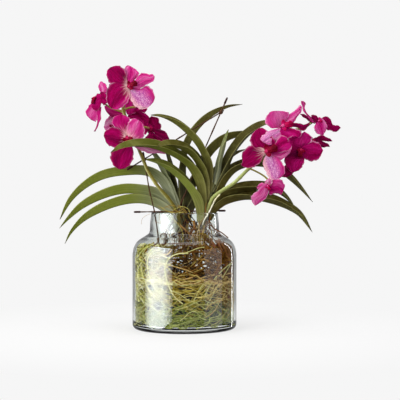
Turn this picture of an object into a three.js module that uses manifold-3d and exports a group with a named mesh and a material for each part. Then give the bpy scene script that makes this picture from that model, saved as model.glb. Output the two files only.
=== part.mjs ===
// A Vanda orchid in a clear glass vase: two leaf fans, two sprays of magenta blooms, support sticks,
// and a vase filled with moss and roots. Millimetres, +Z up, -Y is the front of the arrangement.
// The origin is the centre of the vase's foot, on the surface that the vase stands on.
import * as THREE from 'three';
import { mergeVertices } from 'three/addons/utils/BufferGeometryUtils.js';
import Module from 'manifold-3d';

const wasm = await Module();
wasm.setup();

// Driving dimensions
const GAP = 0.3;
const VASE = {
  radius: 93.4,
  height: 208.5,
  wall: 3.5,
  floor: 8,
  neckRadius: 59.7,
  neckFoot: 172,
  shoulder: 146,
  corner: 9,
  facets: 32,
};
const FILL = { coreRadius: 87, strandReach: 88.4, bottom: 8.4, split: 84, top: 152, facets: 36 };
const STRAND = { radius: 1.9, sides: 3, steps: 6 };
const ROOT = { radius: 1.15, sides: 5, steps: 10 };
const TIE = { radius: 3.8, wire: 0.8 };
const STEM = { radius: 3.5, sides: 8 };
const TEPAL = { thickness: 1, cup: 4, droop: 1.6, wave: 0.4, steps: 3, longFrom: 39, cells: 3 };
const BLOOM = { middle: 5.5, ovaryRadius: 2, ovaryLength: 5, back: 6.5 };
const STALK = { foot: 3.0, tip: 2.0, pedicel: 1.5, sides: 6, steps: 14 };
const STICK = { radius: 1.0, capRadius: 1.8, capLength: 12, sides: 6 };

// The room that the fill leaves round what stands or lies in it
const ROOM = { root: 0.6, stem: 0.5, stick: 0.5 };

// The two stems as straight lines: where each starts in the fill and where its tip is
const STEMS = {
  left: { foot: [7.1, 14, 95], tip: [-11.4, 14, 247] },
  right: { foot: [11, -18, 95], tip: [51.9, -18, 262] },
};

// Leaves. The path is the middle of the blade in the leaf's own upright plane: its distance from the
// stem's axis, then its height. Heading turns the plane, side bends the tip out of it, and roll turns
// the blade about its middle, all counter-clockwise from above or from the base.
const LEAVES = [
  {
    name: 'leaf_left_1', stem: 'left', heading: 188, side: -6, roll: 24, width: 39, tint: 'olive',
    path: [[7, 202], [15, 222], [25, 250], [38, 269], [62, 281], [104, 281], [140, 274], [170, 258],
      [196, 233], [218, 196]],
  },
  {
    name: 'leaf_left_2', stem: 'left', heading: 188, side: 2, roll: 24, width: 44, tint: 'olive',
    path: [[7, 186], [15, 205], [27, 227], [48, 241], [90, 247], [120, 244], [150, 233], [180, 214],
      [202, 194], [217, 178]],
  },
  {
    name: 'leaf_left_3', stem: 'left', heading: 188, side: 6, roll: 26, width: 42, tint: 'olive',
    path: [[7, 170], [15, 189], [26, 208], [43, 222], [66, 230], [92, 231], [122, 225], [152, 213],
      [181, 195], [201, 174], [213, 153]],
  },
  {
    name: 'leaf_left_4', stem: 'left', heading: 188, side: 0, roll: -20, width: 34, tint: 'grey',
    path: [[7, 218], [13, 238], [20, 264], [32, 288], [46, 310], [60, 327]],
  },
  {
    name: 'leaf_left_5', stem: 'left', heading: 188, side: 0, roll: -12, width: 26, tint: 'dark',
    path: [[7, 234], [9, 256], [13, 282], [20, 308], [30, 330]],
  },
  {
    name: 'leaf_left_6', stem: 'left', heading: 8, side: 8, roll: -20, width: 32, tint: 'grey',
    path: [[7, 226], [6, 250], [5, 280], [9, 318], [20, 345], [38, 369], [62, 388], [90, 401],
      [117, 406]],
  },
  {
    name: 'leaf_left_7', stem: 'left', heading: 8, side: 16, roll: -18, width: 42, tint: 'grey',
    path: [[7, 208], [11, 230], [19, 256], [36, 291], [58, 323], [84, 343], [112, 351], [133, 353],
      [155, 349]],
  },
  {
    name: 'leaf_left_8', stem: 'left', heading: 8, side: 20, roll: -16, width: 36, tint: 'grey',
    path: [[7, 190], [13, 212], [27, 236], [52, 270], [81, 302], [103, 317], [124, 325]],
  },
  {
    name: 'leaf_right_1', stem: 'right', heading: 197, side: 0, roll: -18, width: 36, tint: 'dark',
    path: [[7, 246], [6, 270], [7, 297], [16, 320], [31, 341], [49, 358], [70, 371], [92, 378],
      [111, 379]],
  },
  {
    name: 'leaf_right_2', stem: 'right', heading: 197, side: 32, roll: -20, width: 38, tint: 'green',
    path: [[7, 228], [7, 250], [9, 270], [14, 289], [25, 307], [40, 319], [62, 327], [84, 328],
      [102, 323]],
  },
  {
    name: 'leaf_right_3', stem: 'right', heading: 197, side: 6, roll: -24, width: 40, tint: 'green',
    path: [[7, 210], [8, 232], [11, 256], [19, 277], [32, 295], [51, 309], [75, 320], [99, 327],
      [126, 328], [155, 323], [175, 313]],
  },
  {
    name: 'leaf_right_4', stem: 'right', heading: 197, side: 14, roll: -10, width: 36, tint: 'light',
    path: [[7, 192], [8, 214], [14, 234], [23, 250], [35, 264], [52, 279], [72, 291], [91, 298],
      [113, 301]],
  },
  {
    name: 'leaf_right_5', stem: 'right', heading: 17, side: 0, roll: 0, width: 24, tint: 'grey',
    path: [[7, 258], [10, 280], [14, 304], [22, 332], [30, 357]],
  },
  {
    name: 'leaf_right_6', stem: 'right', heading: 17, side: -4, roll: 18, width: 34, tint: 'grey',
    path: [[7, 242], [16, 260], [26, 284], [39, 313], [54, 334], [71, 351], [89, 363], [107, 370],
      [127, 371]],
  },
  {
    name: 'leaf_right_7', stem: 'right', heading: 17, side: 4, roll: 18, width: 40, tint: 'green',
    path: [[7, 225], [16, 241], [30, 268], [47, 286], [67, 295], [92, 298], [116, 295], [139, 286],
      [160, 270], [178, 253], [202, 227]],
  },
  {
    name: 'leaf_right_8', stem: 'right', heading: 17, side: 2, roll: 20, width: 40, tint: 'green',
    path: [[7, 210], [14, 221], [23, 231], [37, 243], [58, 252], [81, 257], [103, 258], [125, 255],
      [147, 244], [170, 220]],
  },
  {
    name: 'leaf_right_9', stem: 'right', heading: 17, side: -20, roll: 22, width: 42, tint: 'green',
    path: [[7, 196], [14, 209], [23, 219], [37, 229], [59, 236], [85, 238], [111, 234], [136, 227],
      [158, 217], [176, 204], [199, 172]],
  },
];
const LEAF = { baseWidth: 19, thickness: 1.3, baseFold: 60, fold: 42, tipFold: 26, steps: 14 };

// Sprays. The stalk is a list of points from its foot at the stem to its tip. Each bloom has its
// centre, the way it faces, the place on the stalk that its own short stalk leaves from, and its five
// tepals: each one's angle about the centre, its length and width, how far it lies in front of the
// bloom's middle, and how many degrees it is raised towards the front.
const OPEN_TEPALS = [[90, 42, 38, -2, 0], [18, 40, 36, 1.4, 0], [-50, 44, 36, -2, 0],
  [-130, 44, 36, -0.3, 0], [162, 40, 36, 1.4, 0]];
const SMALL_TEPALS = OPEN_TEPALS.map(([angle, length, width, layer]) => [angle, 0.84 * length,
  0.84 * width, layer, -14]);
const BUD_TEPALS = OPEN_TEPALS.map(([angle, , , layer]) => [angle, 30, 14, layer, 50]);
const SPRAYS = {
  left: {
    stalk: [[-0.7, 7.7, 158], [-3, 6.4, 166], [-8, 2.4, 190], [-15, 1.6, 211], [-26, -6, 230],
      [-46, -17, 254], [-64, -18, 281], [-76, -17, 309], [-88, -14, 338], [-100, -6, 366], [-110, 0, 392],
      [-112, 0, 412]],
    blooms: [
      {
        at: [-98, -36, 431], face: [0.15, -1, 0.05], joins: 0.93, lip: 25,
        tepals: [[142, 43, 38, -2, 6], [84, 38, 34, -2, 0], [22, 46, 28, 1.2, 8], [-40, 46, 44, -0.6, 0],
          [220, 47, 44, 1.6, 0]],
      },
      {
        at: [-156, -8, 414], face: [-0.8, -0.6, 0], joins: 0.98, lip: -90,
        tepals: [[90, 36, 28, -2, -10], [20, 34, 34, 1.2, -10], [-42, 36, 30, -2, 0],
          [-100, 60, 12, 0, -6], [165, 38, 34, 1.2, -10]],
      },
      {
        at: [-100, -38, 340], face: [0.05, -1, 0], joins: 0.72, lip: -80,
        tepals: [[56, 40, 38, 1.2, 0], [112, 40, 32, -2, 0], [183, 42, 40, 1.2, 0], [259, 57, 40, -1, 0],
          [-20, 52, 30, -2, -8]],
      },
      { at: [-62, 22, 360], face: [0.55, 0.8, -0.2], joins: 0.8, lip: -90, tepals: SMALL_TEPALS },
      { at: [-90, 30, 404], face: [-0.1, 1, 0.6], joins: 0.9, lip: -90, tepals: SMALL_TEPALS },
      { at: [-128, 34, 370], face: [-0.8, 0.6, -0.3], joins: 0.86, lip: -90, tepals: SMALL_TEPALS },
    ],
  },
  right: {
    stalk: [[31.9, -24.4, 178], [34, -25.4, 187], [36.6, -27.6, 197], [41, -28, 209], [50, -28, 234],
      [66, -27, 247], [88, -24, 261], [116, -18, 288], [138, -12, 306], [162, -6, 330], [188, 0, 352],
      [215, 4, 362], [230, 6, 370]],
    blooms: [
      {
        at: [145, -38, 316], face: [-0.05, -1, 0.05], joins: 0.6, lip: -60,
        tepals: [[122, 42, 34, -2, 0], [24, 42, 32, 1.2, 8], [-12, 42, 26, -2, 0], [-74, 52, 38, 0.2, 0],
          [208, 46, 42, 1.2, 0]],
      },
      {
        at: [174, -20, 362], face: [0.1, -1, 0.1], joins: 0.78, lip: 10,
        tepals: [[142, 44, 38, 1.2, 0], [45, 53, 20, -1, 6], [4, 46, 18, -2, 0], [-28, 44, 24, 1.2, 0],
          [218, 42, 32, -2, 0]],
      },
      {
        at: [147, -50, 258], face: [-0.2, -1, -0.5], joins: 0.5, lip: -60,
        tepals: [[196, 28, 20, 0, 0], [232, 46, 26, 1.2, 0], [-14, 30, 24, -2, 0], [-52, 32, 26, 1.2, 0],
          [80, 18, 20, -2, 0]],
      },
      {
        at: [238, -2, 374], face: [0.6, -0.8, 0], joins: 0.97, lip: -20,
        tepals: [[129, 46, 13, -1, 0], [168, 28, 14, 1.2, 0], [-8, 62, 24, -2, -10], [-62, 28, 26, 1.2, 0],
          [-118, 26, 20, -0.4, 0]],
      },
      {
        at: [208, -4, 322], face: [0.1, -1, -0.15], joins: 0.86, lip: -100,
        tepals: [[84, 34, 30, -2, 0], [-6, 45, 38, 1.2, 0], [-52, 36, 30, -2, 0], [-112, 48, 36, 1.2, 0],
          [168, 36, 30, -2, 0]],
      },
      { at: [236, 30, 338], face: [1, 0.1, -0.05], joins: 0.92, lip: null, tepals: BUD_TEPALS },
    ],
  },
};

// Sticks: points along the axis, from one end to the other, and which ends carry a dark cap
const STICKS = [
  { name: 'stick_across_rim', path: [[-91, -3, 209.4], [74, -3, 211.8]], caps: [true, true] },
  {
    name: 'stick_left', path: [[-38, -12, 122], [-47, -12, 168], [-52, -12, 203], [-63, -12, 251],
      [-68, -12, 281], [-74, -12, 317]],
    caps: [false, true],
    stands: true,
  },
  { name: 'stick_right', path: [[-48, -6, 130], [77, -6, 415]], caps: [false, true], stands: true },
  { name: 'stick_leaning', path: [[-103, -11, 285], [71, -3.5, 392]], caps: [true, false] },
];

// Ties: a turn of wire round two crossing sticks, at its centre and along its axis
const TIES = [
  { name: 'tie_left', at: [-71.9, -10.8, 304.1], axis: [0.41, 0.02, 0.91] },
  { name: 'tie_right', at: [65.4, -4.9, 388.6], axis: [0.66, 0.02, 0.75] },
];

// Long roots that lie against the glass, as turns about the vase's axis in degrees and heights, and
// the pale root that hangs from the right fan into the neck
const LONG_ROOTS = [
  {
    name: 'long_root_middle',
    path: [[-85, 139], [-97, 138], [-106, 131], [-111, 117], [-111, 103], [-108, 87], [-101, 66],
      [-91, 52]],
  },
  {
    name: 'long_root_left',
    path: [[-119, 144], [-128, 141], [-134, 131], [-135, 114], [-131, 94], [-124, 76], [-115, 66]],
  },
  { name: 'long_root_far_left', path: [[-148, 116], [-144, 100], [-137, 82], [-128, 68], [-118, 58]] },
];
const AERIAL_ROOT = {
  name: 'aerial_root',
  path: [[63, -30, 241], [55, -32, 232], [50, -33, 222], [43, -32.5, 208], [35, -32, 196], [32, -31, 186]],
};

// Root loops that rise from the top of the fill into the neck and come down again: the turns of the
// two feet about the vase's axis in degrees, and the height of the crown
const NECK_LOOPS = [[-128, -68, 188], [-104, -58, 176], [-80, -112, 199], [-66, -92, 182],
  [-146, -108, 172], [60, 112, 184], [88, 140, 174], [128, 74, 194]];

// Each leaf tint is a colour and a roughness, and so is each finish
const TINTS = {
  olive: [0x7c8448, 0.5],
  grey: [0x646a51, 0.55],
  dark: [0x4a4a2c, 0.5],
  green: [0x5c6224, 0.45],
  light: [0x7f8442, 0.5],
};
const FINISH = {
  glass: [0xdfe6e2, 0.05, { transparent: true, opacity: 0.35 }],
  moss: [0x8f9150, 0.9],
  tangle: [0x7a6435, 0.9],
  longRoot: [0xc9c08a, 0.7],
  paleRoot: [0xe4e0d0, 0.6],
  stem: [0x7b734f, 0.7],
  stalk: [0x9aa05c, 0.6],
  petal: [0xa6145e, 0.6],
  lip: [0x6a0012, 0.5],
  stick: [0x5a3c24, 0.7],
  tie: [0x3b2a1c, 0.8],
};

const vec = (point) => new THREE.Vector3(point[0], point[1], point[2]);
const radians = THREE.MathUtils.degToRad;
const blend = THREE.MathUtils.smoothstep;

// A closed mesh from a list of rings of points. Each ring has the same number of points, in order
// round the body, and the first and last ring are closed by flat caps.
function skin(rings) {
  const count = rings[0].length;
  const positions = rings.flat().flatMap((point) => [point.x, point.y, point.z]);
  const faces = [];
  for (let ring = 0; ring + 1 < rings.length; ring += 1) {
    for (let k = 0; k < count; k += 1) {
      const a = ring * count + k;
      const b = ring * count + ((k + 1) % count);
      faces.push(a, b, b + count, a, b + count, a + count);
    }
  }
  const last = (rings.length - 1) * count;
  for (let k = 1; k + 1 < count; k += 1) {
    faces.push(0, k + 1, k);
    faces.push(last, last + k, last + k + 1);
  }
  const geometry = new THREE.BufferGeometry();
  geometry.setAttribute('position', new THREE.Float32BufferAttribute(positions, 3));
  geometry.setIndex(faces);
  return geometry;
}

// Evenly spaced places along a curve, from 0 to 1
function even(steps) {
  return Array.from({ length: steps + 1 }, (_, i) => i / steps);
}

// A round bar along a curve, with a ring at each of the places and the radius as a function of them
function bar(curve, radiusAt, sides, places) {
  const steps = 200;
  const frames = curve.computeFrenetFrames(steps, false);
  const rings = places.map((t) => {
    const centre = curve.getPointAt(t);
    const radius = radiusAt(t);
    const frame = Math.round(t * steps);
    const ring = [];
    for (let k = 0; k < sides; k += 1) {
      const angle = (2 * Math.PI * k) / sides;
      ring.push(centre.clone()
        .addScaledVector(frames.normals[frame], radius * Math.cos(angle))
        .addScaledVector(frames.binormals[frame], radius * Math.sin(angle)));
    }
    return ring;
  });
  return skin(rings);
}

function curveThrough(points) {
  return new THREE.CatmullRomCurve3(points.map(vec), false, 'centripetal');
}

function solid(geometry) {
  const bare = geometry.clone();
  bare.deleteAttribute('normal');
  bare.deleteAttribute('uv');
  const merged = mergeVertices(bare, 1e-4);
  const mesh = new wasm.Mesh({
    numProp: 3,
    vertProperties: new Float32Array(merged.attributes.position.array),
    triVerts: new Uint32Array(merged.index.array),
  });
  return new wasm.Manifold(mesh);
}

function geometryOf(body) {
  const mesh = body.getMesh();
  const geometry = new THREE.BufferGeometry();
  geometry.setAttribute('position', new THREE.BufferAttribute(mesh.vertProperties, 3));
  geometry.setIndex(new THREE.BufferAttribute(mesh.triVerts, 1));
  return geometry;
}

// The largest of a body's separate pieces, without the loose scraps
function largest(body) {
  return body.decompose().reduce((best, piece) => (piece.volume() > best.volume() ? piece : best));
}

function fuse(geometries) {
  return largest(geometries.map(solid).reduce((whole, piece) => whole.add(piece)));
}

function lathe(profile, facets) {
  const outline = profile.map(([radius, height]) => new THREE.Vector2(radius, height));
  const geometry = new THREE.LatheGeometry(outline, facets);
  geometry.rotateX(Math.PI / 2);
  return geometry;
}

// Points of an arc in the profile's plane, from one angle to the other in degrees
function arc(centreRadius, centreHeight, radius, from, to, steps) {
  const points = [];
  for (let i = 0; i <= steps; i += 1) {
    const angle = radians(from + ((to - from) * i) / steps);
    points.push([centreRadius + radius * Math.cos(angle), centreHeight + radius * Math.sin(angle)]);
  }
  return points;
}

// The glass: up the outside from the foot, over the rim, and down the inside to the floor
function vase() {
  const { radius, height, wall, floor, neckRadius, neckFoot, shoulder, corner } = VASE;
  const neck = neckRadius + 2;
  const profile = [
    [0, 0],
    ...arc(radius - corner, corner, corner, -90, 0, 3),
    [radius, shoulder - 12],
    [radius - 2.4, shoulder],
    [radius - 9, shoulder + 11],
    [radius - 22, shoulder + 20],
    [neck + 2, neckFoot],
    [neck, height - 18],
    [neckRadius, height - 1.5],
    [neckRadius - wall / 2, height],
    [neckRadius - wall, height - 1.5],
    [neck - wall - 0.4, height - 18],
    [neck - wall, neckFoot - 2],
    [radius - 24, shoulder + 16],
    [radius - 11.5, shoulder + 8],
    [radius - wall - 2, shoulder - 2],
    [radius - wall, shoulder - 14],
    ...arc(radius - wall - corner, floor + corner, corner, 0, -90, 3),
    [0, floor],
  ];
  return lathe(profile, VASE.facets);
}


function stemCurve(side) {
  return new THREE.LineCurve3(vec(STEMS[side].foot), vec(STEMS[side].tip));
}

// The stem's axis at a height
function stemAt(side, height) {
  const foot = vec(STEMS[side].foot);
  const tip = vec(STEMS[side].tip);
  return foot.lerp(tip, (height - foot.z) / (tip.z - foot.z));
}

// A strap leaf folded along its keel, closed round the stem at its base
function leaf(spec) {
  const heading = radians(spec.heading);
  const outward = new THREE.Vector3(Math.cos(heading), Math.sin(heading), 0);
  const across = new THREE.Vector3(-Math.sin(heading), Math.cos(heading), 0);
  const origin = stemAt(spec.stem, spec.path[0][1]).setZ(0);
  const start = spec.path[0][0];
  const reach = spec.path[spec.path.length - 1][0];
  const points = spec.path.map(([out, up]) => origin.clone()
    .addScaledVector(outward, out)
    .addScaledVector(across, spec.side * Math.max(0, (out - start) / (reach - start)) ** 1.5)
    .setZ(up));
  const curve = new THREE.CatmullRomCurve3(points, false, 'centripetal');
  const rings = even(LEAF.steps).map((t) => {
    const widening = blend(t, 0, 0.32);
    const taper = (1 - Math.min(t, 0.99) ** 4) ** 0.8;
    const half = 0.5 * taper * (LEAF.baseWidth + (spec.width - LEAF.baseWidth) * widening);
    const opened = LEAF.baseFold + (LEAF.fold - LEAF.baseFold) * blend(t, 0.05, 0.4);
    const fold = radians(opened + (LEAF.tipFold - LEAF.fold) * blend(t, 0.6, 1));
    const roll = radians(spec.roll * blend(t, 0.12, 0.5));
    const tangent = curve.getTangentAt(t);
    const sideways = across.clone().addScaledVector(tangent, -across.dot(tangent)).normalize();
    const up = tangent.clone().cross(sideways);
    const wide = sideways.clone().multiplyScalar(Math.cos(roll)).addScaledVector(up, Math.sin(roll));
    const tall = tangent.clone().cross(wide);
    const centre = curve.getPointAt(t);
    const spread = half * Math.cos(fold);
    const rise = half * Math.sin(fold);
    const thick = LEAF.thickness;
    const section = [
      [0, -rise / 2],
      [spread, rise / 2],
      [spread - thick * Math.sin(fold), rise / 2 + thick * Math.cos(fold)],
      [0, -rise / 2 + thick / Math.cos(fold)],
      [-spread + thick * Math.sin(fold), rise / 2 + thick * Math.cos(fold)],
      [-spread, rise / 2],
    ];
    return section.map(([w, n]) => centre.clone().addScaledVector(wide, w).addScaledVector(tall, n));
  });
  return skin(rings);
}

// One tepal of a bloom, lying along +X from the bloom's centre and facing +Z
function tepal(length, width, phase) {
  const { cells } = TEPAL;
  const steps = length > TEPAL.longFrom ? TEPAL.steps + 1 : TEPAL.steps;
  const rings = even(steps).map((t) => {
    const claw = 0.14 + 0.86 * Math.sin(Math.PI * Math.min(0.5, 0.8 * t));
    const end = Math.sqrt(1 - (Math.max(0, t - 0.55) / 0.5) ** 2);
    const half = 0.5 * width * claw * end;
    const front = [];
    for (let k = 0; k <= cells; k += 1) {
      const v = (2 * k) / cells - 1;
      const x = length * t * (1 - 0.1 * v * v);
      const wave = TEPAL.wave * t * Math.sin(3 * v + 5 * t + phase);
      front.push(new THREE.Vector3(x, half * v, TEPAL.cup * t * t - TEPAL.droop * t * v * v + wave));
    }
    const back = front.map((point) => point.clone().setZ(point.z - TEPAL.thickness));
    return [...back, ...front.reverse()];
  });
  return sheet(rings, cells + 1);
}

// Like skin, for flat blades: the caps at both ends are strips across the blade's thickness
function sheet(rings, half) {
  const count = rings[0].length;
  const positions = rings.flat().flatMap((point) => [point.x, point.y, point.z]);
  const faces = [];
  for (let ring = 0; ring + 1 < rings.length; ring += 1) {
    for (let k = 0; k < count; k += 1) {
      const a = ring * count + k;
      const b = ring * count + ((k + 1) % count);
      if (k < half) faces.push(a, b + count, a + count, a, b, b + count);
      else faces.push(a, b, a + count, b, b + count, a + count);
    }
  }
  const last = (rings.length - 1) * count;
  for (let k = 0; k + 1 < half; k += 1) {
    const across = count - 1 - k;
    faces.push(k, across, k + 1, k + 1, across, across - 1);
    faces.push(last + k, last + k + 1, last + across, last + k + 1, last + across - 1, last + across);
  }
  const geometry = new THREE.BufferGeometry();
  geometry.setAttribute('position', new THREE.Float32BufferAttribute(positions, 3));
  geometry.setIndex(faces);
  return geometry;
}

// Turns a geometry from its own frame, facing +Z with +Y up, to a bloom's place in the spray
function mountOn(geometry, bloom) {
  const facing = vec(bloom.face).normalize();
  const right = new THREE.Vector3(0, 0, 1).cross(facing).normalize();
  const up = facing.clone().cross(right);
  const matrix = new THREE.Matrix4().makeBasis(right, up, facing).setPosition(vec(bloom.at));
  return geometry.applyMatrix4(matrix);
}

// The five tepals of a bloom joined at its middle, with the ovary behind them
function bloomTepals(bloom, index) {
  const blades = bloom.tepals.map(([angle, length, width, layer, raise], k) => {
    const blade = tepal(length, width, index + 2 * k);
    return blade.rotateY(-radians(raise)).rotateZ(radians(angle)).translate(0, 0, layer);
  });
  const { middle, ovaryRadius, ovaryLength, back } = BLOOM;
  const boss = new THREE.SphereGeometry(middle, 6, 4).scale(1, 1, 0.6);
  const ovary = new THREE.CylinderGeometry(ovaryRadius, 0.8 * ovaryRadius, ovaryLength, 4);
  ovary.rotateX(Math.PI / 2).translate(0, 0, ovaryLength / 2 - back);
  return mountOn(geometryOf(fuse([boss, ovary, ...blades])), bloom);
}

// The lip: a short column and a tongue with two side lobes, in front of the tepals
function bloomLip(bloom) {
  const column = new THREE.CylinderGeometry(2, 2.6, 5.2, 4).rotateX(Math.PI / 2).translate(0, 0, 6.15);
  const tongue = new THREE.SphereGeometry(1, 5, 4).scale(4.2, 8.5, 2.2);
  tongue.rotateX(radians(-35)).translate(0, -6, 9.5);
  const lobes = new THREE.SphereGeometry(1, 4, 3).scale(7, 2.6, 3).translate(0, -1.5, 8.5);
  const whole = geometryOf(fuse([column, tongue, lobes])).rotateZ(radians(bloom.lip + 90));
  return mountOn(whole, bloom);
}

// The spray's stalk with the short stalk of each bloom
function stalk(spray) {
  const curve = curveThrough(spray.stalk);
  const radius = (t) => STALK.foot - (STALK.foot - STALK.tip) * t;
  const main = bar(curve, radius, STALK.sides, even(STALK.steps));
  const shorts = spray.blooms.map((bloom) => {
    const back = vec(bloom.face).normalize().negate();
    const start = curve.getPointAt(bloom.joins);
    const end = vec(bloom.at).addScaledVector(back, BLOOM.back + GAP);
    const bend = end.clone().addScaledVector(back, 0.5 * start.distanceTo(end));
    return bar(new THREE.QuadraticBezierCurve3(start, bend, end), () => STALK.pedicel, 5, even(4));
  });
  return geometryOf(fuse([main, ...shorts]));
}

// A small repeatable random number generator
function generator(seed) {
  let state = seed;
  return () => {
    state = (state * 16807) % 2147483647;
    return state / 2147483647;
  };
}

function onWall(turn, height, radius) {
  return new THREE.Vector3(radius * Math.cos(turn), radius * Math.sin(turn), height);
}

// Root strands that lie half sunk in the wall of the fill, spread evenly round it
function wallStrands(count, low, high, seed, steepness) {
  const random = generator(seed);
  const strands = [];
  for (let n = 0; n < count; n += 1) {
    const start = ((n + 0.5 * random()) / count) * 2 * Math.PI;
    const span = 0.7 + 0.5 * random();
    const middle = low + (high - low) * ((n * 0.382 + 0.15 * random()) % 1);
    const slope = (random() - 0.5) * steepness;
    const points = even(STRAND.steps).map((t) => {
      const sunk = t === 0 || t === 1 ? 4 : 1.1;
      const height = middle + slope * (t - 0.5) + 5 * Math.sin(4 * t + n);
      const kept = THREE.MathUtils.clamp(height, low, high);
      return onWall(start + span * t, kept, FILL.strandReach - sunk);
    });
    const curve = new THREE.CatmullRomCurve3(points, false, 'centripetal');
    strands.push(bar(curve, () => STRAND.radius, STRAND.sides, even(STRAND.steps)));
  }
  return strands;
}

function neckLoops() {
  return NECK_LOOPS.map(([from, to, crown], n) => {
    const out = 46 - 3 * (n % 3);
    const points = [
      onWall(radians(from), FILL.top - 6, out - 4),
      onWall(radians(0.7 * from + 0.3 * to), 0.4 * FILL.top + 0.6 * crown, out),
      onWall(radians(0.5 * from + 0.5 * to), crown, out - 2),
      onWall(radians(0.2 * from + 0.8 * to), 0.5 * FILL.top + 0.5 * crown, out - 1),
      onWall(radians(to), FILL.top - 6, out - 6),
    ];
    const curve = new THREE.CatmullRomCurve3(points, false, 'centripetal');
    return bar(curve, () => ROOT.radius, STRAND.sides, even(8));
  });
}

// A long root follows the glass, and draws in with it below the shoulder
function longRootCurve(path) {
  const points = path.map(([turn, height]) => {
    const drawnIn = 0.016 * Math.max(0, height - VASE.shoulder + 18) ** 2;
    return onWall(radians(turn), height, FILL.strandReach - 0.5 - drawnIn);
  });
  return new THREE.CatmullRomCurve3(points, false, 'centripetal');
}

function stickCurve(path) {
  return path.length > 2 ? curveThrough(path) : new THREE.LineCurve3(vec(path[0]), vec(path[1]));
}

// What the fill makes room for: the long roots along the glass, the stems and the standing sticks
function roomInFill() {
  const along = LONG_ROOTS.map(({ path }) => {
    return bar(longRootCurve(path), () => ROOT.radius + ROOM.root, 6, even(ROOT.steps));
  });
  const stems = Object.values(STEMS).map(({ foot, tip }) => {
    const below = vec(foot).lerp(vec(tip), -0.02);
    return bar(new THREE.LineCurve3(below, vec(tip)), () => STEM.radius + ROOM.stem, 12, [0, 1]);
  });
  const sticks = STICKS.filter(({ stands }) => stands).map(({ path }) => {
    const below = vec(path[0]).lerp(vec(path[1]), -0.03).toArray();
    return bar(curveThrough([below, ...path]), () => STICK.radius + ROOM.stick, 10, even(12));
  });
  return [...along, ...stems, ...sticks].map(solid);
}

function cleared(body) {
  return geometryOf(largest(roomInFill().reduce((rest, cutter) => rest.subtract(cutter), body)));
}

// The pale lower part of the fill
function mossFill() {
  const { coreRadius, bottom, split, facets } = FILL;
  const core = lathe([[0, bottom], [coreRadius - 9, bottom], [coreRadius, bottom + 12],
    [coreRadius, split], [0, split]], facets);
  return cleared(fuse([core, ...wallStrands(14, bottom + 14, split - 3, 11, 24)]));
}

// The brown upper part of the fill, domed under the shoulder
function rootTangle() {
  const { coreRadius, split, top, facets } = FILL;
  const floor = split + GAP;
  const core = lathe([[0, floor], [coreRadius, floor], [coreRadius, 126], [coreRadius - 5, 140],
    [70, top - 3], [0, top + 4]], facets);
  return cleared(fuse([core, ...wallStrands(12, floor + 3, 122, 29, 60), ...neckLoops()]));
}

// A support stick with a dark sleeve on the ends that have one
function stick({ path, caps }) {
  const curve = stickCurve(path);
  const share = STICK.capLength / curve.getLength();
  const edge = share + 0.003;
  const inner = path.length > 2 ? [0.2, 0.35, 0.5, 0.62, 0.74, 0.84] : [];
  const first = caps[0] ? [share, edge] : [];
  const last = caps[1] ? [1 - edge, 1 - share] : [];
  const radius = (t) => {
    const sleeved = (caps[0] && t <= share) || (caps[1] && t >= 1 - share);
    return sleeved ? STICK.capRadius : STICK.radius;
  };
  return bar(curve, radius, STICK.sides, [0, ...first, ...inner, ...last, 1]);
}

function tie({ at, axis }) {
  const turn = new THREE.Quaternion().setFromUnitVectors(new THREE.Vector3(0, 0, 1), vec(axis).normalize());
  return new THREE.TorusGeometry(TIE.radius, TIE.wire, 5, 12).applyQuaternion(turn).translate(...at);
}

const group = new THREE.Group();

function place(name, geometry, [color, roughness, extra]) {
  const material = new THREE.MeshStandardMaterial({ color, roughness, metalness: 0, ...extra });
  const mesh = new THREE.Mesh(geometry, material);
  mesh.name = name;
  group.add(mesh);
}

place('vase', vase(), FINISH.glass);
place('moss_fill', mossFill(), FINISH.moss);
place('root_tangle', rootTangle(), FINISH.tangle);
LONG_ROOTS.forEach(({ name, path }) => {
  place(name, bar(longRootCurve(path), () => ROOT.radius, ROOT.sides, even(ROOT.steps)), FINISH.longRoot);
});
const aerialCurve = curveThrough(AERIAL_ROOT.path);
place(AERIAL_ROOT.name, bar(aerialCurve, () => ROOT.radius, ROOT.sides, even(12)), FINISH.paleRoot);
Object.keys(STEMS).forEach((side) => {
  place(`stem_${side}`, bar(stemCurve(side), () => STEM.radius, STEM.sides, [0, 1]), FINISH.stem);
});
LEAVES.forEach((spec) => place(spec.name, leaf(spec), TINTS[spec.tint]));
Object.entries(SPRAYS).forEach(([side, spray]) => {
  place(`stalk_${side}`, stalk(spray), FINISH.stalk);
  spray.blooms.forEach((bloom, k) => {
    place(`bloom_${side}_${k + 1}`, bloomTepals(bloom, k), FINISH.petal);
    if (bloom.lip !== null) place(`lip_${side}_${k + 1}`, bloomLip(bloom), FINISH.lip);
  });
});
STICKS.forEach((spec) => place(spec.name, stick(spec), FINISH.stick));
TIES.forEach((spec) => place(spec.name, tie(spec), FINISH.tie));

export default group;
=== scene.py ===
import math

import bpy
import numpy as np
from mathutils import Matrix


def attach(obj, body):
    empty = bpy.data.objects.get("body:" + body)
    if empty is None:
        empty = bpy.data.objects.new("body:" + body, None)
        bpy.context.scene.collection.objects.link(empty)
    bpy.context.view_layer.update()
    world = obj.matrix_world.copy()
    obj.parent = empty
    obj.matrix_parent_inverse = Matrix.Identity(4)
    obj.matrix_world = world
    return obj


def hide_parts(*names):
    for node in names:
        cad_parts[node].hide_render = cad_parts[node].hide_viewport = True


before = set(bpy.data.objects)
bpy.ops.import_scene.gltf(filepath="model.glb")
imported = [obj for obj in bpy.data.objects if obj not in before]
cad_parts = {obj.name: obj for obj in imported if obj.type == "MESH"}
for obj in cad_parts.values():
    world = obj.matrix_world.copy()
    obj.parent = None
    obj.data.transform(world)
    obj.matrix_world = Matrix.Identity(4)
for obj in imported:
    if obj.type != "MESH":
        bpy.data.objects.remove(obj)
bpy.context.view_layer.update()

MM = 0.001
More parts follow.
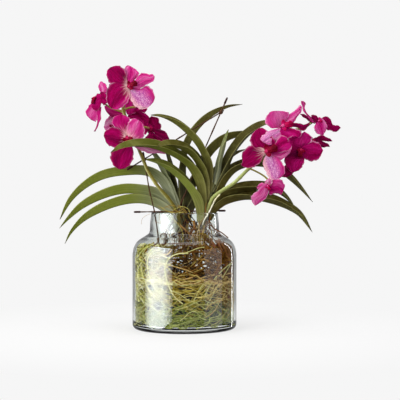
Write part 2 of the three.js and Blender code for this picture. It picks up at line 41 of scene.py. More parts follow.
PETAL_GRID = (40, 29)
LEAF_GRID = (66, 21)

# The picture's frame: level, 1.95 m in front of the vase's axis, where one of the photograph's 400 pixels
# is 1.8 mm wide
EYE = np.array((27.9, -1950.0, 231.0))
LENS = {"length": 97.5, "sensor": 36, "far": 20}
PIXEL = 1.8
MIDDLE = 200

# How many places there are along each kind of round bar, and how many sides
ROUND = {"stem": (60, 20), "stalk": (120, 16), "bloom_stalk": (24, 10), "stick": (100, 12), "wire": (140, 8),
         "wire_end": (14, 8), "long_root": (80, 10), "aerial_root": (60, 12), "glass_root": (40, 8),
         "neck_root": (30, 8), "sheath_root": (14, 6), "stray_root": (20, 6)}

# The stems, leaves, sprays, sticks, ties and roots lie where the model has them
STEMS = {
    "left": ((7.1, 14, 95), (-11.4, 14, 247)),
    "right": ((11, -18, 95), (51.9, -18, 262)),
}
STEM_RADIUS = 3.5
STEM_TINTS = ((122, 104, 66), (118, 122, 84))

# All leaves: widths and folds at the base and beyond, how thick the blade and its rib are, and its waves
LEAF = {"base_width": {"left": 34, "right": 27}, "taper": {"left": 4, "right": 5.5}, "base_fold": 62,
        "fold": 42, "tip_fold": 24, "late_turn": 0.6, "keel": 0.04, "lift": 0.6, "thickness": 0.7,
        "rib": 1.1, "rib_width": 0.22, "thin_tip": 0.25, "slow_wave": 0.5, "quick_wave": 0.3,
        "streak_light": 1.5}

# Each leaf: its side, heading, sideways bend, roll, width and tint, then its line as reach and height
LEAVES = {
    "leaf_left_1": ("left", 188, -6, 24, 40, "olive", [(7, 202), (15, 222), (25, 250), (38, 269),
        (62, 281), (104, 281), (140, 274), (170, 258), (196, 233), (218, 196)]),
    "leaf_left_2": ("left", 188, 2, 23, 42, "olive", [(7, 186), (15, 205), (27, 228), (48, 243),
        (90, 249), (120, 246), (150, 236), (180, 219), (203, 199), (221, 180)]),
    "leaf_left_3": ("left", 188, 6, 22, 40, "olive", [(7, 170), (15, 189), (26, 208), (43, 222),
        (66, 230), (92, 231), (122, 225), (152, 213), (181, 195), (201, 174), (213, 153)]),
    "leaf_left_4": ("left", 188, 0, -20, 36, "grey", [(7, 218), (13, 238), (20, 264), (32, 288),
        (46, 310), (60, 327)]),
    "leaf_left_5": ("left", 188, 0, -12, 26, "dark", [(7, 234), (9, 256), (13, 282), (20, 308),
        (30, 330)]),
    "leaf_left_6": ("left", 8, 8, -20, 32, "shade", [(7, 226), (6, 250), (5, 280), (9, 318),
        (20, 345), (38, 369), (62, 388), (90, 401), (117, 406)]),
    "leaf_left_7": ("left", 8, 16, -18, 42, "shade", [(7, 208), (11, 230), (19, 256), (36, 291),
        (58, 323), (84, 343), (112, 351), (133, 353), (155, 349)]),
    "leaf_left_8": ("left", 8, 20, -16, 36, "shade", [(7, 190), (13, 212), (27, 236), (52, 270),
        (81, 302), (103, 317), (124, 325)]),
    "leaf_right_1": ("right", 197, 0, -18, 36, "moss", [(7, 246), (6, 270), (7, 297), (16, 320),
        (31, 341), (49, 358), (70, 371), (92, 378), (111, 379)]),
    "leaf_right_2": ("right", 197, 32, -24, 40, "moss", [(7, 228), (7, 250), (9, 270), (14, 289),
        (25, 307), (40, 319), (62, 327), (84, 328), (102, 323)]),
    "leaf_right_3": ("right", 197, 6, -26, 41, "bright", [(7, 210), (8, 232), (11, 256), (19, 277),
        (32, 295), (51, 309), (75, 320), (99, 327), (126, 328), (155, 323), (175, 313)]),
    "leaf_right_4": ("right", 197, 14, -20, 40, "fresh", [(7, 192), (8, 214), (14, 234), (23, 250),
        (35, 264), (52, 279), (72, 291), (91, 298), (113, 301)]),
    "leaf_right_5": ("right", 17, 0, 0, 24, "grey", [(7, 258), (10, 280), (14, 304), (22, 332),
        (30, 357)]),
    "leaf_right_6": ("right", 17, -4, 18, 34, "shade", [(7, 242), (16, 260), (26, 284), (39, 313),
        (54, 334), (71, 351), (89, 363), (107, 370), (127, 371)]),
    "leaf_right_7": ("right", 17, 4, 18, 40, "brown", [(7, 225), (16, 241), (30, 268), (47, 286),
        (67, 295), (92, 298), (116, 295), (139, 286), (160, 270), (178, 253), (202, 227)]),
    "leaf_right_8": ("right", 17, 2, 20, 40, "brown", [(7, 210), (14, 221), (23, 231), (37, 243),
        (58, 250), (81, 254), (103, 255), (125, 252), (147, 241), (170, 218)]),
    "leaf_right_9": ("right", 17, -20, 22, 42, "brown", [(7, 196), (14, 209), (23, 219), (37, 229),
        (59, 236), (85, 238), (111, 234), (136, 227), (158, 217), (176, 204), (199, 172)]),
}

# Each leaf tint: the colour at the base, along the blade and at the tip, then the inner face's share of it,
# which paints shade into the inside of the fold
LEAF_TINTS = {
    "olive": ((160, 165, 140), (128, 138, 54), (124, 134, 50), (1.0, 1.0, 1.0)),
    "grey": ((148, 152, 130), (134, 140, 108), (104, 112, 60), (1.0, 1.0, 1.0)),
    "dark": ((60, 56, 38), (62, 58, 34), (76, 74, 44), (0.7, 0.66, 0.6)),
    "shade": ((84, 82, 58), (96, 92, 42), (96, 86, 42), (0.6, 0.56, 0.5)),
    "moss": ((84, 78, 42), (104, 104, 44), (110, 110, 50), (0.6, 0.54, 0.46)),
    "bright": ((106, 102, 54), (118, 126, 46), (120, 128, 50), (0.5, 0.46, 0.4)),
    "fresh": ((112, 112, 60), (136, 148, 64), (136, 148, 66), (0.42, 0.38, 0.32)),
    "brown": ((84, 74, 34), (98, 92, 40), (96, 96, 44), (0.6, 0.54, 0.46)),
}
DRY_TIP = (70, 58, 40)

STALKS = {
    "left": [(-0.7, 7.7, 158), (-3, 6.4, 166), (-8, 2.4, 190), (-15, 1.6, 211), (-26, -6, 230),
        (-46, -17, 254), (-64, -18, 281), (-76, -17, 309), (-88, -14, 338), (-100, -6, 366),
        (-110, 0, 392), (-112, 0, 412)],
    "right": [(31.9, -24.4, 178), (34, -25.4, 187), (36.6, -27.6, 197), (41, -28, 209),
        (50, -28, 234), (66, -27, 247), (88, -24, 261), (116, -18, 288), (138, -12, 306),
        (162, -6, 330), (188, 0, 352), (215, 4, 362), (230, 6, 370)],
}


def petal(layer, tones, first, second, lift=0, glow=0, side=0, net=0, strip=0, rim=0.5):
    """One tepal: its layer in front of the bloom's middle and how far its tip lifts, the tones at its first
    edge, middle and second edge from 0, crimson, to 1, pale pink, which give its own colour together with
    painted light and shade, then how far the cream at its base reaches and to which side, how netted it is,
    how pale a strip along the first edge is and how strong the painted highlight along its rim is.
    The edges are pixels of the photograph, from the base outward, and the first one ends at the tip."""
    return {"layer": layer, "lift": lift, "tones": tones, "glow": glow, "side": side, "net": net,
            "strip": strip, "rim": rim, "first": first, "second": second}


def flower(at, face, joins, lip, tepals, plane=None, bend=None):
    """One bloom: centre, facing, place on the stalk, then the lip's turn, size and tint. The tepals lie
    across the facing, or across a plane of their own. Its short stalk may have its own bend point."""
    return {"at": at, "face": face, "joins": joins, "lip": lip, "tepals": tepals, "plane": plane or face,
            "bend": bend}


# The tepals' tones paint light and shade over their own crimson to pink: those that face away from the light
# or lie behind others are darker
BLOOMS = {"left": [
    flower((-98, -36, 431), (0.15, -1, 0.05), 0.93, (25, 1.1, "dark"), tepals=[
        petal(-0.8, (0.24, 0.16, 0.38), [(129, 84.5), (127, 80), (126.3, 74), (124.5, 69.5), (120.5, 66.3),
            (116.5, 65.4), (113, 66.4), (109.7, 67.9)], [(127, 86), (120, 85.5), (112.5, 85), (108.3, 81),
            (106.5, 75), (107.2, 70.5)], lift=5, glow=0.3, side=-1, rim=0.35),
        petal(-2.4, (0.64, 0.62, 0.74), [(131.5, 84.5), (134.5, 80), (137.8, 76.5), (139, 73.3),
            (135.5, 69.2), (130.5, 66.2)], [(127.7, 83), (126, 78), (124.6, 72), (124.8, 67.5),
            (127.5, 65.6)], lift=-3, glow=0.1),
        petal(2.2, (0.66, 0.72, 0.62), [(131.5, 87.5), (136.5, 89), (140, 88.6), (144, 86.3), (148, 84),
            (152, 82.2), (154.2, 79.6), (154.6, 76.4)], [(132, 84), (135, 80.5), (138, 76), (141, 73.5),
            (145, 73), (149, 74.3), (152.5, 74)], lift=7, glow=0.08, rim=0.6),
        petal(0, (0.95, 0.72, 0.5), [(129.3, 88.5), (129.6, 93.5), (130.3, 98.5), (132.5, 103.5),
            (136.5, 107.2), (141.5, 109.2), (146.5, 108.3), (150.5, 105.5)], [(132, 86.5), (136.5, 88.5),
            (141.8, 88.3), (145.8, 85.8), (149.3, 86.3), (152.5, 90.2), (154.5, 95.5), (154.2, 100.5)],
            lift=5, glow=0.1, net=1, strip=1),
        petal(1.2, (0.15, 0.2, 0.54), [(127.5, 84), (121, 82), (114.5, 82), (109.5, 84.5), (107, 89),
            (106, 95.5), (106.8, 101), (109, 105.5), (112, 108.6)], [(129.4, 88.5), (130, 93),
            (129.6, 98.5), (127, 103.2), (122.8, 106.8), (119, 109.1), (115.2, 109.7)], lift=6, glow=0.42,
            side=0.9, rim=0.4)]),
    flower((-156, -8, 414), (-0.8, -0.6, 0), 0.92, (-90, 0.8, "dark"), bend=(-140, -5, 395), tepals=[
        petal(-1, (0.66, 0.78, 0.7), [(105.5, 94), (107.2, 88.5), (105.8, 85), (103.6, 82), (101.2, 81.4)],
            [(101, 94), (99.6, 90), (98.7, 86), (99.2, 83)], lift=-4),
        petal(1, (0.2, 0.26, 0.2), [(100, 92.5), (103.5, 91.8), (106, 93.5), (107.6, 102)], [(100, 100),
            (102, 103.8), (105, 105.2)], lift=2, rim=0.1),
        petal(1.5, (0.24, 0.4, 0.3), [(103, 96), (98, 93.5), (94.5, 97), (91, 100.2), (92.3, 104.5)],
            [(102.5, 99), (101.3, 103.8), (100, 108.8), (96.3, 110.8), (93.3, 109.3)], lift=3, rim=0.2),
        petal(-1, (0.6, 0.72, 0.74), [(97, 101), (92, 102.6), (87.8, 106.5), (86, 111), (87.8, 116),
            (91.8, 120)], [(99, 106), (98, 112), (98.2, 118), (96, 121.8)], lift=-3),
        petal(0.6, (0.5, 0.6, 0.4), [(97.5, 106), (97.3, 112), (98, 118), (97.9, 122.5), (96.8, 126.5),
            (94.2, 131.4)], [(101.4, 107), (100.8, 114), (99.8, 122), (98.4, 126.5), (96.4, 130.2)], lift=3,
            rim=0.2)]),
    flower((-100, -38, 340), (0.05, -1, 0), 0.72, (-80, 1.2, "dark"), tepals=[
        petal(-2.6, (0.86, 0.84, 0.7), [(129.5, 142), (136, 148), (143, 151.2), (150, 153.6), (157, 153.2),
            (165.5, 154)], [(131, 138.5), (139, 138), (147, 139), (155, 142.3), (162, 146.5),
            (166.5, 150.5)], lift=-4, glow=0.3, rim=0.7),
        petal(-1.2, (0.14, 0.2, 0.46), [(126, 141), (121.5, 146), (115, 148.6), (111.2, 152), (110.2, 157),
            (111.8, 162.5), (115, 167), (119.5, 169.3)], [(130.3, 141.5), (132.5, 147.5), (133.6, 153),
            (133, 159.2), (130, 164.8), (125.3, 168.2)], lift=5, glow=0.15, rim=0.3),
        petal(-1.8, (0.6, 0.36, 0.6), [(128.5, 135.5), (128.3, 129), (129.5, 123), (130.3, 119.2),
            (126.8, 116.2), (121.5, 114.5)], [(125, 135.5), (120, 130.8), (115.5, 127.8), (112, 124),
            (112.3, 119.5), (115.5, 116.2)], lift=-3, glow=0.5, rim=0.6),
        petal(0.8, (0.24, 0.2, 0.28), [(125.8, 135.6), (121.5, 130.3), (116.5, 127.5), (112, 126.7),
            (108, 129.2), (104.6, 131.9), (103.7, 136)], [(126, 141), (122.5, 145.2), (118.5, 148),
            (113.5, 147.3), (109.5, 145.8), (106, 142.5), (105.2, 139.5)], lift=5, glow=0.34, rim=0.3),
        petal(1.6, (0.6, 0.72, 0.66), [(130, 140.3), (135, 141.2), (140.5, 139.8), (143.6, 136.5),
            (144.6, 132), (143.8, 127), (141.8, 122.9), (138.5, 120)], [(127.3, 135), (126.3, 130),
            (127.3, 125), (129.2, 121.5), (132, 119), (135.2, 118.5)], lift=6, glow=0.55, rim=0.9)]),
    flower((-62, 22, 360), (0.55, 0.8, -0.2), 0.8, (-90, 0.8, "dark"), tepals=[
        petal(-2, (0.4, 0.3, 0.4), [(151, 128), (148.5, 122.5), (149, 117), (144.3, 113), (140.3, 110.5),
            (131, 112.5)], [(148, 131), (145, 135), (143, 130), (140, 123.5), (136.5, 121), (132, 119.5),
            (127, 117)], lift=-6, rim=0.2),
        petal(1, (0.24, 0.16, 0.2), [(151, 129.5), (149, 125.3), (145, 122.5), (146, 119.3), (148.8, 118.2),
            (152, 116.2)], [(154.5, 132.3), (158, 133.3), (160.3, 130), (161.2, 126.5), (160, 122.5),
            (158.5, 118.2)], lift=3, rim=0.3),
        petal(-3, (0.12, 0.05, 0.1), [(152, 129), (158, 129.5), (161.5, 129.8), (165.6, 132),
            (168.5, 137.5)], [(155.5, 134), (160.5, 138), (165, 141.5), (169.5, 141)], lift=-8, rim=0.2),
        petal(2.4, (0.5, 0.4, 0.3), [(149, 127.5), (153, 131.8), (157.2, 134.8), (162, 137.5),
            (167.5, 141.8)], [(147.6, 132.5), (151.6, 137), (154.8, 141.6), (161, 141.8)], lift=6, rim=0.8),
        petal(-1, (0.3, 0.3, 0.3), [(150, 132), (146.3, 136.5), (143.6, 138), (141, 138.8), (138.5, 140.5)],
            [(153, 135), (153, 140.8), (146, 141)], rim=0.3)]),
    flower((-90, 30, 404), (-0.1, 1, 0.6), 0.93, (-90, 0.8, "dark"), bend=(-107, 14, 398),
        plane=(-0.3, -1, 0.2), tepals=[
        petal(0, (0.3, 0.34, 0.36), [(134, 105.5), (137.5, 107.5), (142, 109.4), (147.4, 107.8),
            (146.9, 111), (144.4, 112.8)], [(130, 110), (131.8, 114), (136, 112), (140, 110.6)], rim=0.3),
        petal(1, (0.5, 0.5, 0.52), [(132, 98), (129, 95.5), (126.5, 99), (124.8, 104.5), (125.2, 110),
            (127.4, 114.5)], [(135, 103), (135.5, 112.3), (131.5, 114.6)], rim=0.3)]),
    flower((-128, 34, 370), (-0.8, 0.6, -0.3), 0.86, (-90, 0.8, "dark"), plane=(-0.3, -1, 0), tepals=[
        petal(1, (0.6, 0.56, 0.6), [(124, 110), (117, 109), (111, 107.5), (104.8, 105.5), (105, 109.5),
            (108.5, 113.8)], [(124, 116), (118, 118), (112, 117.5)]),
        petal(0, (0.92, 0.9, 0.86), [(117, 117), (113, 114.7), (109.3, 116), (106, 120), (104, 127)],
            [(115, 122), (112.5, 126.5), (109, 129.5), (105.5, 131)], lift=-4, net=0.25, rim=0.6)]),
], "right": [
    flower((145, -38, 316), (-0.05, -1, 0.05), 0.6, (20, 1.5, "dark"), tepals=[
        petal(-2.4, (0.3, 0.14, 0.26), [(271, 149), (276, 144), (275, 139), (270, 134), (265.5, 129.2),
            (262, 127.8), (258, 128.5)], [(264, 150), (258.5, 149.5), (252, 146.5), (250, 139.3),
            (251.4, 135.4), (254.3, 131.6)], lift=-4, glow=0.15),
        petal(-1, (0.7, 0.76, 0.8), [(270, 157.2), (275.5, 159.5), (281, 160), (286, 156.6), (290, 152.5),
            (291.9, 146.5)], [(271, 151), (277, 151), (283, 150), (288.5, 147.5)], lift=-3, rim=0.6),
        petal(0.4, (0.98, 0.82, 0.58), [(266, 155), (264, 158.8), (262.9, 164.5), (265.3, 170.4),
            (267.8, 176), (269.8, 179.2), (273, 180.2), (277, 179.4)], [(273, 156), (278.2, 158.3),
            (281.8, 162.3), (284.5, 167.5), (284.9, 172.8), (281.2, 177.2)], lift=6, glow=0.12, net=1,
            strip=1, rim=0.4),
        petal(1.2, (0.18, 0.14, 0.26), [(266, 149.5), (260, 147.2), (255.5, 147.9), (251.3, 144.9),
            (246.8, 147.8), (243, 151.6), (241.7, 156.5), (242.6, 161), (241, 165)], [(266.5, 154),
            (263.5, 156), (261.5, 160.8), (256.8, 165.4), (250.5, 168), (244.5, 167.3)], lift=6, glow=0.42,
            rim=0.4),
        petal(2.2, (0.5, 0.36, 0.3), [(270, 153), (277, 153), (284, 151.8), (290, 150), (291.6, 146.3),
            (288.2, 141.5)], [(269.5, 149.5), (274.5, 144.5), (277.3, 139.8), (281.5, 135.6),
            (285.8, 136.8)], lift=7, rim=0.6)]),
    flower((174, -20, 362), (0.1, -1, 0.1), 0.78, (10, 1.3, "bright"), tepals=[
        petal(-1.5, (0.7, 0.74, 0.76), [(285, 125), (290, 124), (293.3, 122.9), (295.8, 119.5),
            (298, 115.8), (300.8, 113), (302, 106.8)], [(283.5, 122), (286.5, 118), (288.8, 114.4),
            (293, 111.8), (296.8, 108.5), (300.2, 105.2)], lift=5),
        petal(-2.2, (0.16, 0.1, 0.12), [(287, 128.3), (293.5, 127), (298, 128), (303, 131), (306.3, 128.8),
            (310.8, 121.4)], [(287, 123.8), (293, 122.8), (299.3, 123.3), (304.3, 124.6)], lift=-5,
            rim=0.2),
        petal(0.8, (0.66, 0.6, 0.7), [(283.5, 125.5), (285, 121.5), (288, 117.5), (289.8, 114.2),
            (287.5, 112.3), (283, 111.1), (276.8, 111)], [(280, 128), (275, 128.2), (271.8, 128.4),
            (267.4, 125.4), (264.9, 121.3), (266, 117.9), (268, 114), (271.1, 111.5)], lift=5, glow=0.1,
            net=0.3, rim=0.6),
        petal(2.5, (0.5, 0.42, 0.3), [(280.5, 128.5), (279, 132), (280.5, 135.5), (284, 137),
            (286.6, 138.6), (289.5, 137.6), (292.4, 135.9), (296.1, 136.4)], [(286, 126.8), (291.1, 128),
            (296.1, 129.4), (300.6, 131), (301.5, 134.8), (299.3, 137.3)], lift=7, rim=1),
        petal(1.5, (0.85, 0.84, 0.8), [(280.5, 127.5), (274, 129.5), (268.5, 131), (264, 133.6),
            (261.8, 136.3), (260.3, 139.2), (263.3, 142)], [(285, 131), (282.4, 135.5), (279.4, 139.3),
            (276, 142), (272, 144.2), (268, 144.6)], lift=12, glow=0.1, net=0.8, rim=0.7)]),
    flower((147, -50, 258), (-0.2, -1, -0.5), 0.5, (-60, 0.6, "bright"), tepals=[
        petal(-1, (0.64, 0.56, 0.52), [(270, 183), (272.5, 180.3), (276.5, 179.3), (281.1, 178.8),
            (283.2, 182), (285, 185.6), (283.2, 190)], [(268.8, 187), (268.8, 191), (269.6, 195.3),
            (273, 194.2), (277.8, 193.6), (281, 194.9)], lift=-4, rim=0.7),
        petal(0, (0.76, 0.72, 0.76), [(267, 184), (263, 183), (259, 184.1), (256.8, 187.3)], [(265, 188),
            (261, 189), (257.5, 190)], rim=0.4),
        petal(1.5, (0.86, 0.78, 0.74), [(267.5, 182), (264, 184.5), (260, 187.5), (256.5, 191.5),
            (251.8, 195.8), (251.3, 200.5), (255.3, 205.5)], [(270, 182.5), (270, 186.5), (268.8, 191),
            (266.6, 197.3), (262, 201), (258.5, 204)], lift=6, rim=0.9),
        petal(0.5, (0.85, 0.9, 0.86), [(266, 185), (264.5, 182.5), (266.5, 180), (269.5, 178.3)],
            [(270.5, 186), (272.3, 183), (272, 180)], glow=0.6, rim=0.3)]),
    flower((238, -2, 374), (0.6, -0.8, 0), 0.97, (-20, 0.5, "bright"), tepals=[
        petal(0, (0.6, 0.7, 0.5), [(314, 123.5), (310.5, 121), (307.8, 117.6), (304.5, 112.5), (303, 108),
            (301.9, 105.5), (300.9, 102.8), (301.3, 100.9)], [(315, 121.5), (312.6, 118.9), (309.3, 115.2),
            (305.8, 112), (303.9, 106.8), (305.2, 104), (303.7, 101.3)], lift=6, rim=0.4),
        petal(-2, (0.16, 0.1, 0.14), [(315, 124), (310.8, 122.3), (306.8, 120), (303.3, 117), (300.5, 114)],
            [(314, 120), (310.3, 117.6), (307, 115.4), (303.5, 114)], lift=-4, rim=0.2),
        petal(1.6, (0.2, 0.16, 0.24), [(316, 124), (313, 119.8), (310.5, 115.6), (313, 114.7)],
            [(317.5, 122), (318, 118.5), (316, 115.5)], lift=2, rim=0.3),
        petal(1, (0.64, 0.6, 0.74), [(314.5, 119), (315.5, 123.5), (313.5, 127.5), (315, 131),
            (318.6, 134.2), (321, 135.2), (323.4, 134.8)], [(319.5, 117), (323.6, 119.5), (326.6, 123.5),
            (326.7, 127), (325.3, 131)], lift=4, rim=0.8),
        petal(-1.5, (0.26, 0.2, 0.3), [(321, 124), (325, 127.5), (327, 130), (329.5, 130.3), (333.6, 132),
            (338, 131), (340.3, 128)], [(321.5, 118.2), (325, 116.4), (328.4, 117.2), (331, 120.2),
            (333.2, 124.6), (338.5, 125.7)], lift=-6)]),
    flower((208, -4, 322), (0.1, -1, -0.15), 0.86, (-100, 1.0, "dark"), tepals=[
        petal(-2.6, (0.22, 0.18, 0.2), [(292, 166), (286, 164.5), (284.5, 169), (284.4, 173),
            (281.8, 176.9)], [(296, 168), (294, 172), (290.5, 175.5), (285.8, 177.4)], lift=-5, rim=0.2),
        petal(0.5, (0.34, 0.4, 0.42), [(297, 154), (290, 157), (284.5, 159.5), (285, 163.5), (286.5, 167.5),
            (289.8, 171), (293, 172.4)], [(301.5, 154.5), (304.5, 159), (303.8, 163.5), (301.8, 167.3),
            (297.4, 171)], lift=4, rim=0.3),
        petal(1.4, (0.1, 0.08, 0.12), [(301.5, 146.5), (297, 143), (292, 143), (288.8, 148), (286, 156.5)],
            [(302.5, 153), (304.3, 159), (301, 160), (294.3, 160), (284.2, 159.9)], lift=3, rim=0.1),
        petal(0.4, (0.3, 0.3, 0.4), [(299, 153), (302.6, 157), (305.5, 159.4), (311.1, 161.4),
            (315.5, 160.6), (318.8, 159), (320.6, 155.5), (323.2, 150.4)], [(300, 147), (303, 142),
            (308, 141.8), (313, 141), (319.3, 143.6)], lift=5, rim=0.7),
        petal(3, (0.46, 0.52, 0.5), [(297.5, 148), (292, 146.5), (287.4, 143.5), (287.5, 138.5),
            (293.5, 136.2), (300, 134.2), (304.3, 131.4)], [(302, 146), (305.5, 144), (308.5, 144),
            (311.9, 141.2), (312.5, 137.9), (308.6, 134)], lift=6, rim=1.3)]),
    flower((236, 30, 338), (1, 0.1, -0.05), 0.92, None, plane=(0.3, -1, 0), tepals=[
        petal(0, (0.1, 0.12, 0.2), [(316.5, 141.5), (319.3, 140), (323, 141), (328, 141.5), (332, 141.3)],
            [(315.5, 138.5), (319, 135.8), (323, 135.2), (327.5, 137.6), (330.5, 139)], lift=5, rim=0.4),
        petal(1, (0.12, 0.1, 0.16), [(316.5, 142.5), (319, 145), (323.5, 147.5), (326.8, 146.8),
            (329.6, 147)], [(317, 139.5), (321, 140.5), (325, 142.6), (328.8, 143.9)], lift=-5, rim=0.4),
        petal(-1, (0.14, 0.16, 0.14), [(312, 139), (311, 142.5), (314, 145), (319.5, 146)], [(316, 137.2),
            (320, 138), (321.5, 142)], rim=0.2)]),
]}
BLOOM_BACK = 6.5

# The stalks: radii, the rise and length of a knot, and the knots below the blooms
STALK = {"foot": 3.3, "tip": 2.9, "pedicel": 1.6, "knot": 0.5, "knot_length": 0.008,
         "knots": (0.16, 0.3, 0.42)}

# Each stalk's tints, its side in painted light and its side in painted shade, then those of its foot and of
# the blooms' own stalks
STALK_TINTS = {"left": ((196, 196, 128), (118, 108, 44)), "right": ((180, 192, 128), (140, 148, 84)),
               "foot": (78, 70, 36), "short": ((140, 128, 60), (176, 120, 92))}

# The sticks: a line, and whether each of its ends has a cap
STICKS = {
    "stick_across_rim": ([(-91, -3, 209.4), (74, -3, 211.8)], (True, True)),
    "stick_left": ([(-38, -12, 122), (-47, -12, 168), (-52, -12, 203), (-63, -12, 251),
        (-68, -12, 281), (-74, -12, 317)], (False, True)),
    "stick_right": ([(-48, -6, 130), (77, -6, 415)], (False, True)),
    "stick_leaning": ([(-103, -11, 285), (71, -3.5, 392)], (True, False)),
}
STICK = {"radius": 1.2, "cap_radius": 1.8, "cap_length": 12, "rounding": 0.8, "step": 0.002,
         "cap_tint": (52, 24, 22), "tint": (80, 54, 38)}

# The ties: the place where two sticks cross, and the direction that the wire winds round
TIES = {
    "tie_left": ((-71.9, -10.8, 304.1), (0.41, 0.02, 0.91)),
    "tie_right": ((65.4, -4.9, 388.6), (0.66, 0.02, 0.75)),
}
TIE = {"radius": 3.2, "wire": 0.65, "end_wire": 0.52, "turns": 5, "spread": 1.7, "tint": (84, 56, 40)}

# The long roots at the glass, as turns in degrees and heights. They are drawn in from the wall higher up.
LONG_ROOTS = {
    "long_root_middle": [(-85, 139), (-97, 138), (-106, 131), (-111, 117), (-111, 103), (-108, 87),
        (-101, 66), (-91, 52)],
    "long_root_left": [(-119, 144), (-128, 141), (-134, 131), (-135, 114), (-131, 94), (-124, 76),
        (-115, 66)],
    "long_root_far_left": [(-148, 116), (-144, 100), (-137, 82), (-128, 68), (-118, 58)],
}
LONG_ROOT = {"above": 128, "drawn": 0.016, "tints": ((206, 204, 122), (222, 214, 152))}
AERIAL_ROOT = [(63, -30, 241), (55, -32, 232), (50, -33, 222), (43, -32.5, 208), (35, -32, 196),
    (32, -31, 186)]
AERIAL_TINTS = ((226, 220, 176), (238, 234, 214))
ROOT_RADIUS = 1.15
WALL_REACH = 87.9

# The vase's inside radius by height, and the fill's levels
INSIDE = ((8, 132.5, 144, 154, 162, 170, 190, 208), (89.9, 89.9, 87.9, 81.9, 69.4, 58.2, 57.8, 56.2))
# The core's tint is a painted shade
FILL = {"bottom": 8.4, "split": 84, "top": 156, "moss_count": 760, "shade_core_tint": (30, 30, 8)}

# The dark core behind the moss's strands, painted shade for the depth of the fill, above its foot: radius
# and height
MOSS_SHADE_CORE = [(76, 24), (75, 40), (76, 58), (74, 76), (66, 84), (0.5, 86)]

# How many steps a curve has between two of its points, and a length that is as good as none
CURVE_STEPS = 24
TINY = 1e-9


def linear(colour):
    """A colour in 0 to 255 screen values as linear light."""
    share = np.asarray(colour, float) / 255
    return np.where(share <= 0.04045, share / 12.92, ((share + 0.055) / 1.055) ** 2.4)


def smooth(low, high, value):
    """A soft step, 0 at the first limit and 1 at the second."""
    share = np.clip((np.asarray(value, float) - low) / (high - low), 0, 1)
    return share * share * (3 - 2 * share)


def hump(value, width):
    """A soft hump that is 1 at the middle."""
    return np.exp(-((value / width) ** 2))


def unit(vectors):
    return vectors / np.maximum(np.linalg.norm(vectors, axis=-1, keepdims=True), TINY)


def blend(first, second, share):
    share = np.asarray(share, float)[..., None]
    return np.asarray(first) * (1 - share) + np.asarray(second) * share


def lengths(points):
    """How far along a line of points each one lies."""
    return np.concatenate([[0], np.cumsum(np.linalg.norm(np.diff(points, axis=0), axis=1))])


def read_off(wanted, stops, rows):
    """Points or colours between the rows that stand at some stops."""
    return np.stack([np.interp(wanted, stops, rows[:, k]) for k in range(3)], axis=-1)


def spline(points, places):
    """A smooth curve through the points, at shares of its length."""
    points = np.asarray(points, float)
    padded = np.vstack([2 * points[0] - points[1], points, 2 * points[-1] - points[-2]])
    t = np.linspace(0, 1, CURVE_STEPS, endpoint=False)[:, None]
    dense = []
    for a, b, c, d in zip(padded, padded[1:], padded[2:], padded[3:]):
        before, between, after = (np.linalg.norm(q - p) ** 0.5 for p, q in ((a, b), (b, c), (c, d)))
        leave = ((b - a) / before - (c - a) / (before + between) + (c - b) / between) * between
        arrive = ((c - b) / between - (d - b) / (between + after) + (d - c) / after) * between
        dense.append(b + leave * t + (3 * (c - b) - 2 * leave - arrive) * t**2
                     + (2 * (b - c) + leave + arrive) * t**3)
    dense = np.vstack([*dense, points[-1]])
    reach = lengths(dense)
    return read_off(np.asarray(places) * reach[-1], reach, dense)


def placed(name, data, place=(0, 0, 0), turn=(0, 0, 0)):
    """A new object in the scene."""
    item = bpy.data.objects.new(name, data)
    item.location = place
    item.rotation_euler = turn
    bpy.context.scene.collection.objects.link(item)
    return item


class Batch:
    """Closed bodies gathered into one mesh, with a place on the surface and a colour for each point. The
    colour's fourth value is the strength of the material's pattern there."""

    def __init__(self):
        self.points, self.places, self.tones, self.faces = [], [], [], []
        self.count = 0

    def add(self, points, faces, places, tones):
        points = np.asarray(points, float).reshape(-1, 3)
        tones = np.asarray(tones, float)
        tones = tones.reshape(-1, tones.shape[-1])
        tones = np.pad(tones, ((0, 0), (0, 4 - tones.shape[1])))
        self.points.append(points)
        self.places.append(np.asarray(places, float).reshape(-1, 2))
        self.tones.append(np.broadcast_to(tones, (len(points), 4)))
        self.faces += [np.asarray(group) + self.count for group in faces]
        self.count += len(points)

    def piece(self, name, slot, material, replaced=()):
        """The gathered bodies as one piece of the visual model, in place of some nodes of the solids."""
        mesh = bpy.data.meshes.new(name)
        points = np.vstack(self.points) * MM
        corners = np.concatenate([group.ravel() for group in self.faces])
        sizes = np.concatenate([np.full(len(group), group.shape[1]) for group in self.faces])
        mesh.vertices.add(len(points))
        mesh.vertices.foreach_set("co", points.ravel())
        mesh.loops.add(len(corners))
        mesh.loops.foreach_set("vertex_index", corners)
        mesh.polygons.add(len(sizes))
        mesh.polygons.foreach_set("loop_start", np.concatenate([[0], np.cumsum(sizes)[:-1]]))
        mesh.polygons.foreach_set("use_smooth", np.ones(len(sizes), bool))
        mesh.update(calc_edges=True)
        surface = mesh.uv_layers.new(name="surface")
        surface.data.foreach_set("uv", np.vstack(self.places)[corners].ravel())
        tone = mesh.color_attributes.new("tone", "FLOAT_COLOR", "POINT")
        tone.data.foreach_set("color", np.vstack(self.tones).ravel())
        mesh.materials.append(MATERIALS[material])
        mesh.validate()
        piece = placed(name, mesh)
        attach(piece, "root")
        if replaced:
            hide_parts(*replaced)


